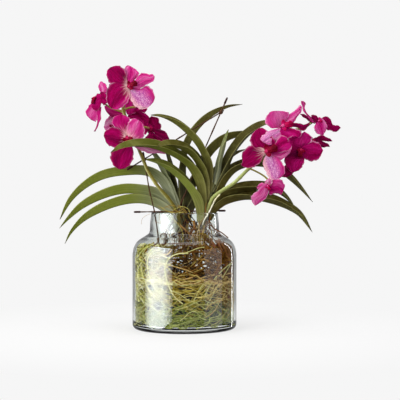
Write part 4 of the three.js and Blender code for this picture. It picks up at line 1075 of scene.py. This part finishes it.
def root_tangle():
    rng = np.random.default_rng(29)
    batch = Batch()
    low, high = FILL["split"] + 1, FILL["top"]
    for count, radii, levels, spread in TANGLE_LOOSE:
        paths = tangled(rng, count, low, high, spread)
        middles = paths[:, paths.shape[1] // 2] + [0, 0, LOOSE["raised"]]
        tones = fill_tones(rng, middles, rng.uniform(*levels, count))
        tubes(batch, paths, rng.uniform(*radii, (count, 1)), 6, tones)
    for count, reach in TANGLE_LOW:
        layered_strands(rng, batch, count, low, low + reach)
    for count, hand, limit, levels in TANGLE_WALLS:
        walls = wall_strands(rng, count, low, high - WALL_STRANDS["below_top"], WALL_STRANDS["depths"])
        middles = walls[:, walls.shape[1] // 2]
        kept = hand * middles[:, 0] > limit
        walls, middles = walls[kept], middles[kept]
        tones = fill_tones(rng, middles, rng.uniform(*levels, len(walls)))
        tubes(batch, walls, rng.uniform(*WALL_STRANDS["radii"], (len(walls), 1)), 5, tones)
    for roots, kind, steps in ((PALE_ROOTS, PALE, shaken), (UPRIGHT_ROOTS, UPRIGHT, strayed)):
        for pixels in roots:
            line = spline(seen_on_wall(pixels, WALL_REACH - kind["behind"]), stations("glass_root"))
            line = kept_inside(line + steps(rng, len(line), kind["step"]), kind["gap"])
            bar(batch, "glass_root", line, rng.uniform(*kind["radii"]), linear(kind["tint"]))
    batch.piece("root_tangle_fibres", "brown_root", "fibre", ["root_tangle"])


# Roots in the neck and just under it: the pixels of the photograph, depth, radius and colour
NECK_TINTS = {"brown": (104, 66, 36), "ginger": (172, 118, 66), "tan": (166, 140, 70), "dark": (52, 34, 20),
              "straw": (202, 192, 104), "hair": (196, 172, 136)}
NECK_ROOTS = (
    ([(202, 256), (194, 264), (184.5, 274)], -82, 0.7, "tan"),
    ([(185, 274.5), (194, 272), (203, 268.5)], -81, 0.7, "tan"),
    ([(161, 244), (170, 242), (180, 241), (190, 243), (198, 247)], -44, 1.6, "brown"),
    ([(193.5, 221), (195, 228), (198, 235.5), (200, 244)], -12, 2.3, "ginger"),
    ([(166, 206), (175, 210), (182, 212), (188, 213)], -16, 0.5, "tan"),
    ([(163, 208), (169, 205.5), (176, 206), (182, 209), (187, 214)], -20, 0.45, "tan"),
    ([(170, 213), (176, 208.5), (183, 206.5), (188, 209), (190, 214)], -12, 0.45, "straw"),
    ([(161, 207), (168, 211.5), (176, 213), (184, 212)], -26, 0.4, "straw"),
    ([(178, 205), (184, 209), (189, 216), (194, 224)], -8, 0.55, "tan"),
    ([(172, 218), (177, 224), (181, 230), (183, 237)], -14, 0.6, "straw"),
    ([(175, 221), (181, 226), (187, 233), (190, 240)], -18, 0.6, "tan"),
    ([(188, 214), (193, 219), (197, 226), (199, 234)], -6, 0.9, "dark"),
    ([(185, 220), (190, 227), (192, 236), (190, 244)], -10, 1.0, "brown"),
    ([(200, 217), (196, 224), (192, 231), (189, 238)], 2, 0.7, "brown"),
    ([(195, 230), (196, 238), (194, 246), (197, 254)], -24, 1.7, "brown"),
    ([(186, 233), (190, 240), (196, 245), (201, 250)], -28, 1.2, "dark"),
    ([(203, 230), (204, 238), (208, 246), (206, 254)], -26, 1.0, "dark"),
    ([(214, 212), (209, 220), (206, 228), (208, 236)], -12, 0.7, "dark"),
    ([(205, 226), (212, 231), (218, 233), (225, 240)], -26, 0.7, "brown"),
    ([(173, 214), (177, 222), (181, 231)], -10, 0.9, "dark"),
    ([(186, 212), (191, 220), (198, 232)], -14, 0.7, "tan"),
    ([(158, 206), (164, 210), (172, 212.8), (180, 211.5), (184, 208)], -24, 0.45, "tan"),
    ([(185, 205), (187, 214), (190, 222), (193, 230)], 4, 1.3, "dark"),
    ([(208, 219), (211, 226), (216, 234)], -20, 1.0, "brown"),
    ([(206, 222), (213, 228), (222, 233), (228, 238)], -30, 1.0, "brown"),
    ([(150, 214), (145, 216), (142, 219), (141, 224)], -30, 0.3, "hair"),
    ([(160, 213), (160, 219), (162, 226), (164, 231)], -34, 0.35, "hair"),
    ([(156, 222), (162, 224), (167, 230), (170, 238)], -30, 0.35, "hair"),
    ([(175, 229), (168, 232), (160, 237), (155, 243)], -26, 0.8, "brown"),
    ([(184, 232), (176, 236), (168, 239), (160, 246)], -38, 1.1, "dark"),
    ([(200, 232), (206, 238), (212, 244), (216, 252)], -30, 1.6, "brown"),
    ([(196, 226), (190, 236), (184, 246), (180, 256)], -34, 1.2, "brown"),
    ([(180, 226), (188, 234), (196, 238), (206, 240)], -22, 1.0, "ginger"),
)

# The sheaths' lowest places, lengths, distances from the stem and radii, each as a range, and the roots that
# leave the stems: where they start and end, how far they reach and how thick they and the hairs are
SHEATH = {"heights": (146, 196), "lengths": (16, 46), "reaches": (3.6, 8.5), "flare": (0, 5),
          "radii": (0.35, 1.0), "tints": ["brown", "tan", "dark", "tan", "ginger"]}
STRAY = {"heights": (164, 196), "ends": (138, 156), "reaches": (10, 60), "dip": (-0.3, 0.1), "gap": 2.5,
         "step": 0.25, "radii": (0.5, 1.1), "hair_radii": (0.25, 0.5),
         "tints": ["brown", "dark", "brown", "tan", "hair"]}
NECK_COUNTS = {"left": 110, "right": 70}
NECK_STEP = 0.12


def sheath_root(rng, batch, side):
    """A rootlet that clings along a stem."""
    foot, tip = stem_ends(side)
    along = unit(tip - foot)
    across = unit(np.cross(along, [0, 1, 0]))
    places = ROUND["sheath_root"][0]
    heights = rng.uniform(*SHEATH["heights"]) + np.linspace(0, rng.uniform(*SHEATH["lengths"]), places)
    turn = rng.uniform(0, 2 * np.pi) + 0.5 * np.sin(np.linspace(0, 3, places) + rng.uniform(0, 6))
    reach = rng.uniform(*SHEATH["reaches"]) + np.linspace(rng.uniform(*SHEATH["flare"]), 0, places)
    path = np.array([stem_at(side, height) for height in heights])
    path = path + across * (np.cos(turn) * reach)[:, None]
    path = path + np.cross(across, along) * (np.sin(turn) * reach)[:, None]
    kind = rng.choice(SHEATH["tints"])
    bar(batch, "sheath_root", path, rng.uniform(*SHEATH["radii"]), linear(NECK_TINTS[kind]))


def stray_root(rng, batch, side):
    """A root that leaves a stem and curls down to the fill."""
    start = stem_at(side, rng.uniform(*STRAY["heights"])) + rng.normal(0, 1, 3) * [5, 5, 0]
    turn = rng.uniform(0, 2 * np.pi)
    out = rng.uniform(*STRAY["reaches"]) * np.array([math.cos(turn), math.sin(turn), 0])
    drop = start[2] - rng.uniform(*STRAY["ends"])
    dip = rng.uniform(*STRAY["dip"])
    points = [start + out * far + [0, 0, rise * drop]
              for far, rise in ((0, 0), (0.4, dip), (0.8, -0.7), (0.9, -1))]
    path = spline(points, stations("stray_root"))
    path = kept_inside(path + shaken(rng, len(path), STRAY["step"]), STRAY["gap"])
    kind = rng.choice(STRAY["tints"])
    thick = rng.uniform(*STRAY["hair_radii" if kind == "hair" else "radii"])
    bar(batch, "stray_root", path, np.linspace(thick, 0.6 * thick, len(path)), linear(NECK_TINTS[kind]))


def neck_rootlets():
    """Fibrous sheaths round the stems, roots that leave them, and the roots that the photograph shows."""
    rng = np.random.default_rng(41)
    batch = Batch()
    for side, count in NECK_COUNTS.items():
        for _ in range(count):
            sheath_root(rng, batch, side)
        for _ in range(count // 2):
            stray_root(rng, batch, side)
    for pixels, depth, thick, kind in NECK_ROOTS:
        line = spline(seen_at_depth(pixels, depth), stations("neck_root"))
        line = line + strayed(rng, len(line), NECK_STEP)
        radii = thick * (1 + 0.1 * rng.normal(0, 1, len(line)))
        bar(batch, "neck_root", line, radii, linear(NECK_TINTS[kind]))
    batch.piece("neck_rootlets", "brown_root", "fibre")


# The vase's radii, rounded corners, floor and straight walls, then its curved walls as radius and height,
# and the middle and size of the half circle of its rim
VASE = {
    "radius": 93.4, "inside_radius": 89.9, "corner": 9, "floor": 8, "straight": 70,
    "outside": [(93.4, 134), (91, 146), (84.4, 157), (71.4, 166), (63.7, 172), (61.7, 190.5),
                (59.9, 206.6)],
    "rim": (57.95, 206.8, 1.75),
    "inside": [(56.2, 206.6), (57.8, 190.5), (58.2, 170), (69.4, 162), (81.9, 154), (87.9, 144),
               (89.9, 132)],
}


def arc(radius, height, size, first, last):
    """A quarter or half circle in a profile, between two angles."""
    angles = np.radians(np.linspace(first, last, 9))
    return [(radius + size * math.cos(angle), height + size * math.sin(angle)) for angle in angles]


def wall(points):
    """A smooth wall in a profile."""
    curve = spline([(radius, 0, height) for radius, height in points], np.linspace(0, 1, 40))
    return list(curve[:, ::2])


def vase():
    """The glass, turned from a smooth profile: up the outside, over the rim and down the inside."""
    size, straight, floor_height = VASE["corner"], VASE["straight"], VASE["floor"]
    outer, inner = VASE["radius"] - size, VASE["inside_radius"] - size
    profile = [(0.4, 0), (outer, 0), *arc(outer, size, size, -90, 0), (VASE["radius"], straight),
               *wall(VASE["outside"]), *arc(*VASE["rim"], 0, 180), *wall(VASE["inside"]),
               (VASE["inside_radius"], straight), *arc(inner, floor_height + size, size, 0, -90),
               (40, floor_height), (0.4, floor_height)]
    batch = Batch()
    revolved(batch, profile, 144, np.asarray, (1, 1, 1))
    batch.piece("vase_glass", "clear_glass", "glass", ["vase"])


class Nodes:
    """A node tree, with short ways to add and join nodes."""

    def __init__(self, tree):
        self.tree = tree

    def add(self, kind, inputs=None, **settings):
        node = self.tree.nodes.new(kind)
        for name, value in settings.items():
            setattr(node, name, value)
        for socket, value in (inputs or {}).items():
            self.feed(node.inputs[socket], value)
        return node

    def feed(self, socket, value):
        if isinstance(value, bpy.types.NodeSocket):
            self.tree.links.new(value, socket)
        else:
            socket.default_value = value

    def noise(self, vector, scale, detail):
        inputs = {"Vector": vector, "Scale": scale, "Detail": detail}
        return self.add("ShaderNodeTexNoise", inputs).outputs["Fac"]

    def maths(self, operation, first, second=0.0):
        return self.add("ShaderNodeMath", {0: first, 1: second}, operation=operation).outputs[0]

    def within(self, value, low, high, first=0.0, last=1.0):
        """The value's share between two limits, clamped and brought to a range."""
        return self.add("ShaderNodeMapRange", {"Value": value, "From Min": low, "From Max": high,
                                               "To Min": first, "To Max": last}).outputs["Result"]

    def mixed(self, share, first, second, kind="MIX"):
        node = self.add("ShaderNodeMix", {0: share, 6: first, 7: second}, data_type="RGBA", blend_type=kind)
        return node.outputs[2]


class Shader(Nodes):
    """A material's node tree."""

    def __init__(self, name, **finish):
        self.material = bpy.data.materials.new(name)
        self.material.use_nodes = True
        super().__init__(self.material.node_tree)
        self.surface = self.tree.nodes["Principled BSDF"]
        for socket, value in finish.items():
            self.surface.inputs[socket.replace("_", " ")].default_value = value

    def tone(self):
        return self.add("ShaderNodeVertexColor", layer_name="tone").outputs

    def coordinates(self, stretch=(1, 1, 1), kind="UV"):
        source = self.add("ShaderNodeTexCoord").outputs[kind]
        return self.add("ShaderNodeMapping", {"Vector": source, "Scale": stretch}).outputs["Vector"]

    def bumped(self, colour, height, strength, distance):
        """The material with its colour and a bump of some strength and distance in metres."""
        bump = self.add("ShaderNodeBump", {"Height": height, "Strength": strength, "Distance": distance})
        self.feed(self.surface.inputs["Base Color"], colour)
        self.feed(self.surface.inputs["Normal"], bump.outputs["Normal"])
        return self.material

    def join(self, share, other):
        """The material as its surface and another shader, mixed by a share."""
        mix = self.add("ShaderNodeMixShader", {0: share, 1: self.surface.outputs[0], 2: other.outputs[0]})
        self.feed(self.tree.nodes["Material Output"].inputs["Surface"], mix.outputs[0])
        return self.material


def rgba(colour):
    return (*linear(colour), 1)


def petal_material():
    shader = Shader("orchid_petal", Roughness=0.8, Specular_IOR_Level=0.0, Subsurface_Weight=0.06,
                    Subsurface_Scale=0.001, Subsurface_Radius=(1.0, 0.1, 0.4))
    tone = shader.tone()
    streak = shader.noise(shader.coordinates((2.2, 14, 1)), 1.6, 4)
    veins = shader.noise(shader.coordinates((1.6, 44, 1)), 1.0, 3)
    cells = shader.add("ShaderNodeTexVoronoi", {"Vector": shader.coordinates((9, 8, 1)), "Scale": 1.3},
                       feature="DISTANCE_TO_EDGE").outputs["Distance"]
    deeper = shader.mixed(shader.within(streak, 0.38, 0.62, 0.0, 0.5), tone["Color"], rgba((170, 30, 110)),
                          "MULTIPLY")
    paler = shader.mixed(shader.within(veins, 0.46, 0.34, 0.0, 0.3), deeper, rgba((206, 40, 130)))
    lined = shader.mixed(shader.within(veins, 0.52, 0.64, 0.0, 0.6), paler, rgba((160, 10, 90)), "MULTIPLY")
    net = shader.maths("MULTIPLY", shader.within(cells, 0.03, 0.2, 0.85, 0.0), tone["Alpha"])
    netted = shader.mixed(net, lined, rgba((146, 40, 130)))
    height = shader.maths("MULTIPLY", shader.maths("ADD", veins, streak), 0.6)
    return shader.bumped(netted, height, 0.5, 0.0008)


def leaf_material():
    shader = Shader("orchid_leaf", Roughness=0.5, Specular_IOR_Level=0.06)
    across = shader.add("ShaderNodeSeparateXYZ", {0: shader.coordinates()}).outputs["Y"]
    aside = shader.maths("ABSOLUTE", across)
    lines = shader.noise(shader.coordinates((1.5, 34, 1)), 1.0, 2)
    patches = shader.noise(shader.coordinates(kind="Object"), 60, 3)
    lined = shader.mixed(shader.within(lines, 0.35, 0.65, 0.0, 0.6), shader.tone()["Color"],
                         rgba((160, 160, 110)), "MULTIPLY")
    patched = shader.mixed(shader.within(patches, 0.45, 0.7, 0.0, 0.2), lined, rgba((150, 150, 84)))
    # Painted shade: a dark line down the keel, where the fold is deepest
    keel_shaded = shader.mixed(shader.within(aside, 0.0, 0.08, 0.5, 0.0), patched, rgba((58, 58, 20)))
    # Painted highlight: a pale line along each margin of the blade
    margin_highlighted = shader.mixed(shader.within(aside, 0.95, 0.985, 0.0, 0.4), keel_shaded, rgba((160, 156, 96)))
    return shader.bumped(margin_highlighted, lines, 0.25, 0.0005)


def mottled(name, finish, grain, limits, tint, bump, kind="MIX"):
    """A material in its tones, mottled with a tint and bumped. The finish is its roughness and gloss. The
    grain is a noise: its stretch over the surface, or none for one in space, then its scale and detail. The
    limits are where the tint begins, where it is full and how full. The bump is strength and distance."""
    shader = Shader(name, Roughness=finish[0], Specular_IOR_Level=finish[1])
    stretch, scale, detail = grain
    place = shader.coordinates(stretch) if stretch else shader.coordinates(kind="Object")
    noise = shader.noise(place, scale, detail)
    low, high, most = limits
    share = shader.within(noise, low, high, 0.0, most)
    return shader.bumped(shader.mixed(share, shader.tone()["Color"], rgba(tint), kind), noise, *bump)


def lip_material():
    return mottled("orchid_lip", (0.5, 0.02), ((3, 9, 1), 2.0, 4), (0.4, 0.7, 0.5), (70, 0, 10),
                   (0.4, 0.0005))


def stem_material():
    return mottled("orchid_stem", (0.8, 0.02), ((3, 22, 1), 1.5, 4), (0.4, 0.65, 0.7), (84, 66, 36),
                   (0.6, 0.0008))


def stalk_material():
    return mottled("flower_stalk", (0.5, 0.05), (None, 260, 4), (0.5, 0.7, 0.5), (120, 104, 52),
                   (0.2, 0.0004))


def fibre_material():
    return mottled("root_fibre", (0.8, 0.0), (None, 180, 3), (0.4, 0.7, 0.5), (120, 92, 50), (0.4, 0.0004),
                   "MULTIPLY")


def root_material():
    return mottled("pale_root", (0.7, 0.02), (None, 220, 4), (0.5, 0.75, 0.5), (176, 160, 92), (0.3, 0.0004))


def stick_material():
    return mottled("stick_bark", (0.7, 0.04), ((26, 5, 1), 1.4, 5), (0.42, 0.62, 0.7), (48, 28, 20),
                   (0.6, 0.0006))


def tie_material():
    return mottled("tie_wire", (0.7, 0.04), (None, 500, 3), (0.4, 0.7, 1.0), (44, 26, 20), (0.4, 0.0003))


def glass_material():
    """Clear glass with a faint green-grey body. Light for what stands inside passes straight through."""
    shader = Shader("vase_glass", Roughness=0.0, IOR=1.45, Transmission_Weight=1.0,
                    Base_Color=rgba((246, 250, 248)))
    path = shader.add("ShaderNodeLightPath").outputs
    passes = shader.maths("MAXIMUM", path["Is Shadow Ray"], path["Is Diffuse Ray"])
    return shader.join(passes, shader.add("ShaderNodeBsdfTransparent"))


MATERIALS = {
    "petal": petal_material(),
    "lip": lip_material(),
    "leaf": leaf_material(),
    "stem": stem_material(),
    "stalk": stalk_material(),
    "fibre": fibre_material(),
    "root": root_material(),
    "stick": stick_material(),
    "tie": tie_material(),
    "glass": glass_material(),
}

# The white that the camera sees all round, and the floor: its grey, the distances at which it fades into the
# white, its glow, how much darker the gloss shows it, its half width and how far it lies under the vase
WHITE = (0.921, 0.921, 0.921, 1)
FLOOR = {"grey": (0.28, 0.28, 0.28, 1), "near": 0.15, "far": 0.55, "glow": 0.6, "dimmed": 0.6,
         "reach": 6.0, "drop": 0.0003}


def camera():
    data = bpy.data.cameras.new("camera")
    data.lens = LENS["length"]
    data.sensor_width = LENS["sensor"]
    data.clip_end = LENS["far"]
    bpy.context.scene.camera = placed("camera", data, EYE * MM, (math.pi / 2, 0, 0))


def floor():
    """A pale floor that takes a faint shadow near the vase and fades into the white round it."""
    shader = Shader("pale_floor", Roughness=0.9, Specular_IOR_Level=0.0, Base_Color=FLOOR["grey"],
                    Emission_Color=(1, 1, 1, 1), Emission_Strength=FLOOR["glow"])
    centre = shader.add("ShaderNodeTexCoord").outputs["Object"]
    distance = shader.add("ShaderNodeVectorMath", {0: centre}, operation="LENGTH").outputs["Value"]
    mirrored = shader.maths("MINIMUM", shader.add("ShaderNodeLightPath").outputs["Glossy Depth"], 1.0)
    strength = shader.maths("SUBTRACT", 1.0, shader.maths("MULTIPLY", mirrored, FLOOR["dimmed"]))
    glow = shader.add("ShaderNodeEmission", {"Color": WHITE, "Strength": strength})
    mesh = bpy.data.meshes.new("floor")
    corners = [(FLOOR["reach"] * x, FLOOR["reach"] * y, -FLOOR["drop"]) for x, y in
               ((-1, -1), (1, -1), (1, 1), (-1, 1))]
    mesh.from_pydata(corners, [], [(0, 1, 2, 3)])
    mesh.materials.append(shader.join(shader.within(distance, FLOOR["near"], FLOOR["far"]), glow))
    item = placed("floor", mesh)
    item.visible_glossy = False
    item.visible_diffuse = False


def light(name, size, watts, place, turn, glossy=True, diffuse=True, tint=(1, 1, 1)):
    """A flat light that the camera doesn't see, not even through the glass."""
    data = bpy.data.lights.new(name, "AREA")
    data.shape = "RECTANGLE"
    data.size, data.size_y = size
    data.energy = watts
    data.color = tint
    item = placed(name, data, place, turn)
    item.visible_camera = False
    item.visible_transmission = False
    item.visible_glossy = glossy
    item.visible_diffuse = diffuse


def softbox(name, azimuth, distance, low, high, spread, watts, **seen):
    """A tall panel of light round the vase, in degrees, metres and watts. Azimuth 0 is the camera's side
    and 90 the right."""
    turn = math.radians(azimuth)
    width = 2 * distance * math.tan(math.radians(spread) / 2)
    place = (distance * math.sin(turn), -distance * math.cos(turn), (low + high) / 2)
    light(name, (width, high - low), watts, place, (math.pi / 2, 0, turn), **seen)


def surroundings():
    """White all round for the eye, softer light for what it falls on, and darker sides for the gloss."""
    world = bpy.data.worlds.new("studio")
    world.use_nodes = True
    bpy.context.scene.world = world
    nodes = Nodes(world.node_tree)
    path = nodes.add("ShaderNodeLightPath").outputs
    place = nodes.add("ShaderNodeTexCoord").outputs["Generated"]
    towards = nodes.add("ShaderNodeSeparateXYZ", {0: place}).outputs
    sky = nodes.within(towards["Z"], -0.8, 0.8, 0.22, 0.72)
    behind = nodes.within(towards["Y"], -0.1, 0.9, 0.06, 0.42)
    aside = nodes.within(nodes.maths("ABSOLUTE", towards["X"]), 0.35, 0.9, 1.0, 0.1)
    reflected = nodes.maths("MULTIPLY", behind, aside)
    seen = nodes.mixed(nodes.maths("MINIMUM", path["Glossy Depth"], 1.0), WHITE, reflected)
    colour = nodes.mixed(path["Is Diffuse Ray"], seen, sky)
    nodes.feed(nodes.tree.nodes["Background"].inputs["Color"], colour)


# The bright band that the left of the glass mirrors: nested panels, as spread and power, for a soft edge
BAND = ((68, 32), (58, 29), (46, 26), (34, 19))


def studio():
    """The lights: panels that the glass mirrors, and panels that only light the plant."""
    for number, (spread, watts) in enumerate(BAND):
        softbox(f"band_left_{number}", -59, 1.3 + 0.01 * number, -0.25, 1.3 - 0.02 * number, spread, watts,
                diffuse=False, tint=(0.9, 0.97, 1.0))
    softbox("band_right", 66, 1.3, -0.25, 0.95, 45, 6, diffuse=False)
    softbox("strip_right", 127, 1.3, -0.25, 0.95, 2.5, 3, diffuse=False)
    softbox("key_left", -40, 1.6, 0.1, 1.5, 40, 26, glossy=False)
    softbox("fill_right", 48, 1.8, 0.0, 1.4, 40, 12, glossy=False)
    softbox("fill_behind", 180, 1.8, 0.1, 1.4, 60, 9, glossy=False)
    light("top", (1.2, 1.2), 10, (0, -0.1, 1.6), (0, 0, 0))


bpy.context.scene.view_settings.view_transform = "Standard"
camera()
surroundings()
studio()
floor()
vase()
moss_fill()
root_tangle()
neck_rootlets()
for number, name in enumerate(LONG_ROOTS):
    long_root(name, number)
aerial_root()
for number, side in enumerate(STEMS):
    stem(side, number)
    stalk(side)
    for k in range(len(BLOOMS[side])):
        bloom(side, k)
for number, name in enumerate(LEAVES):
    leaf(name, number)
for number, name in enumerate(STICKS):
    stick(name, number)
for number, name in enumerate(TIES):
    tie(name, number)
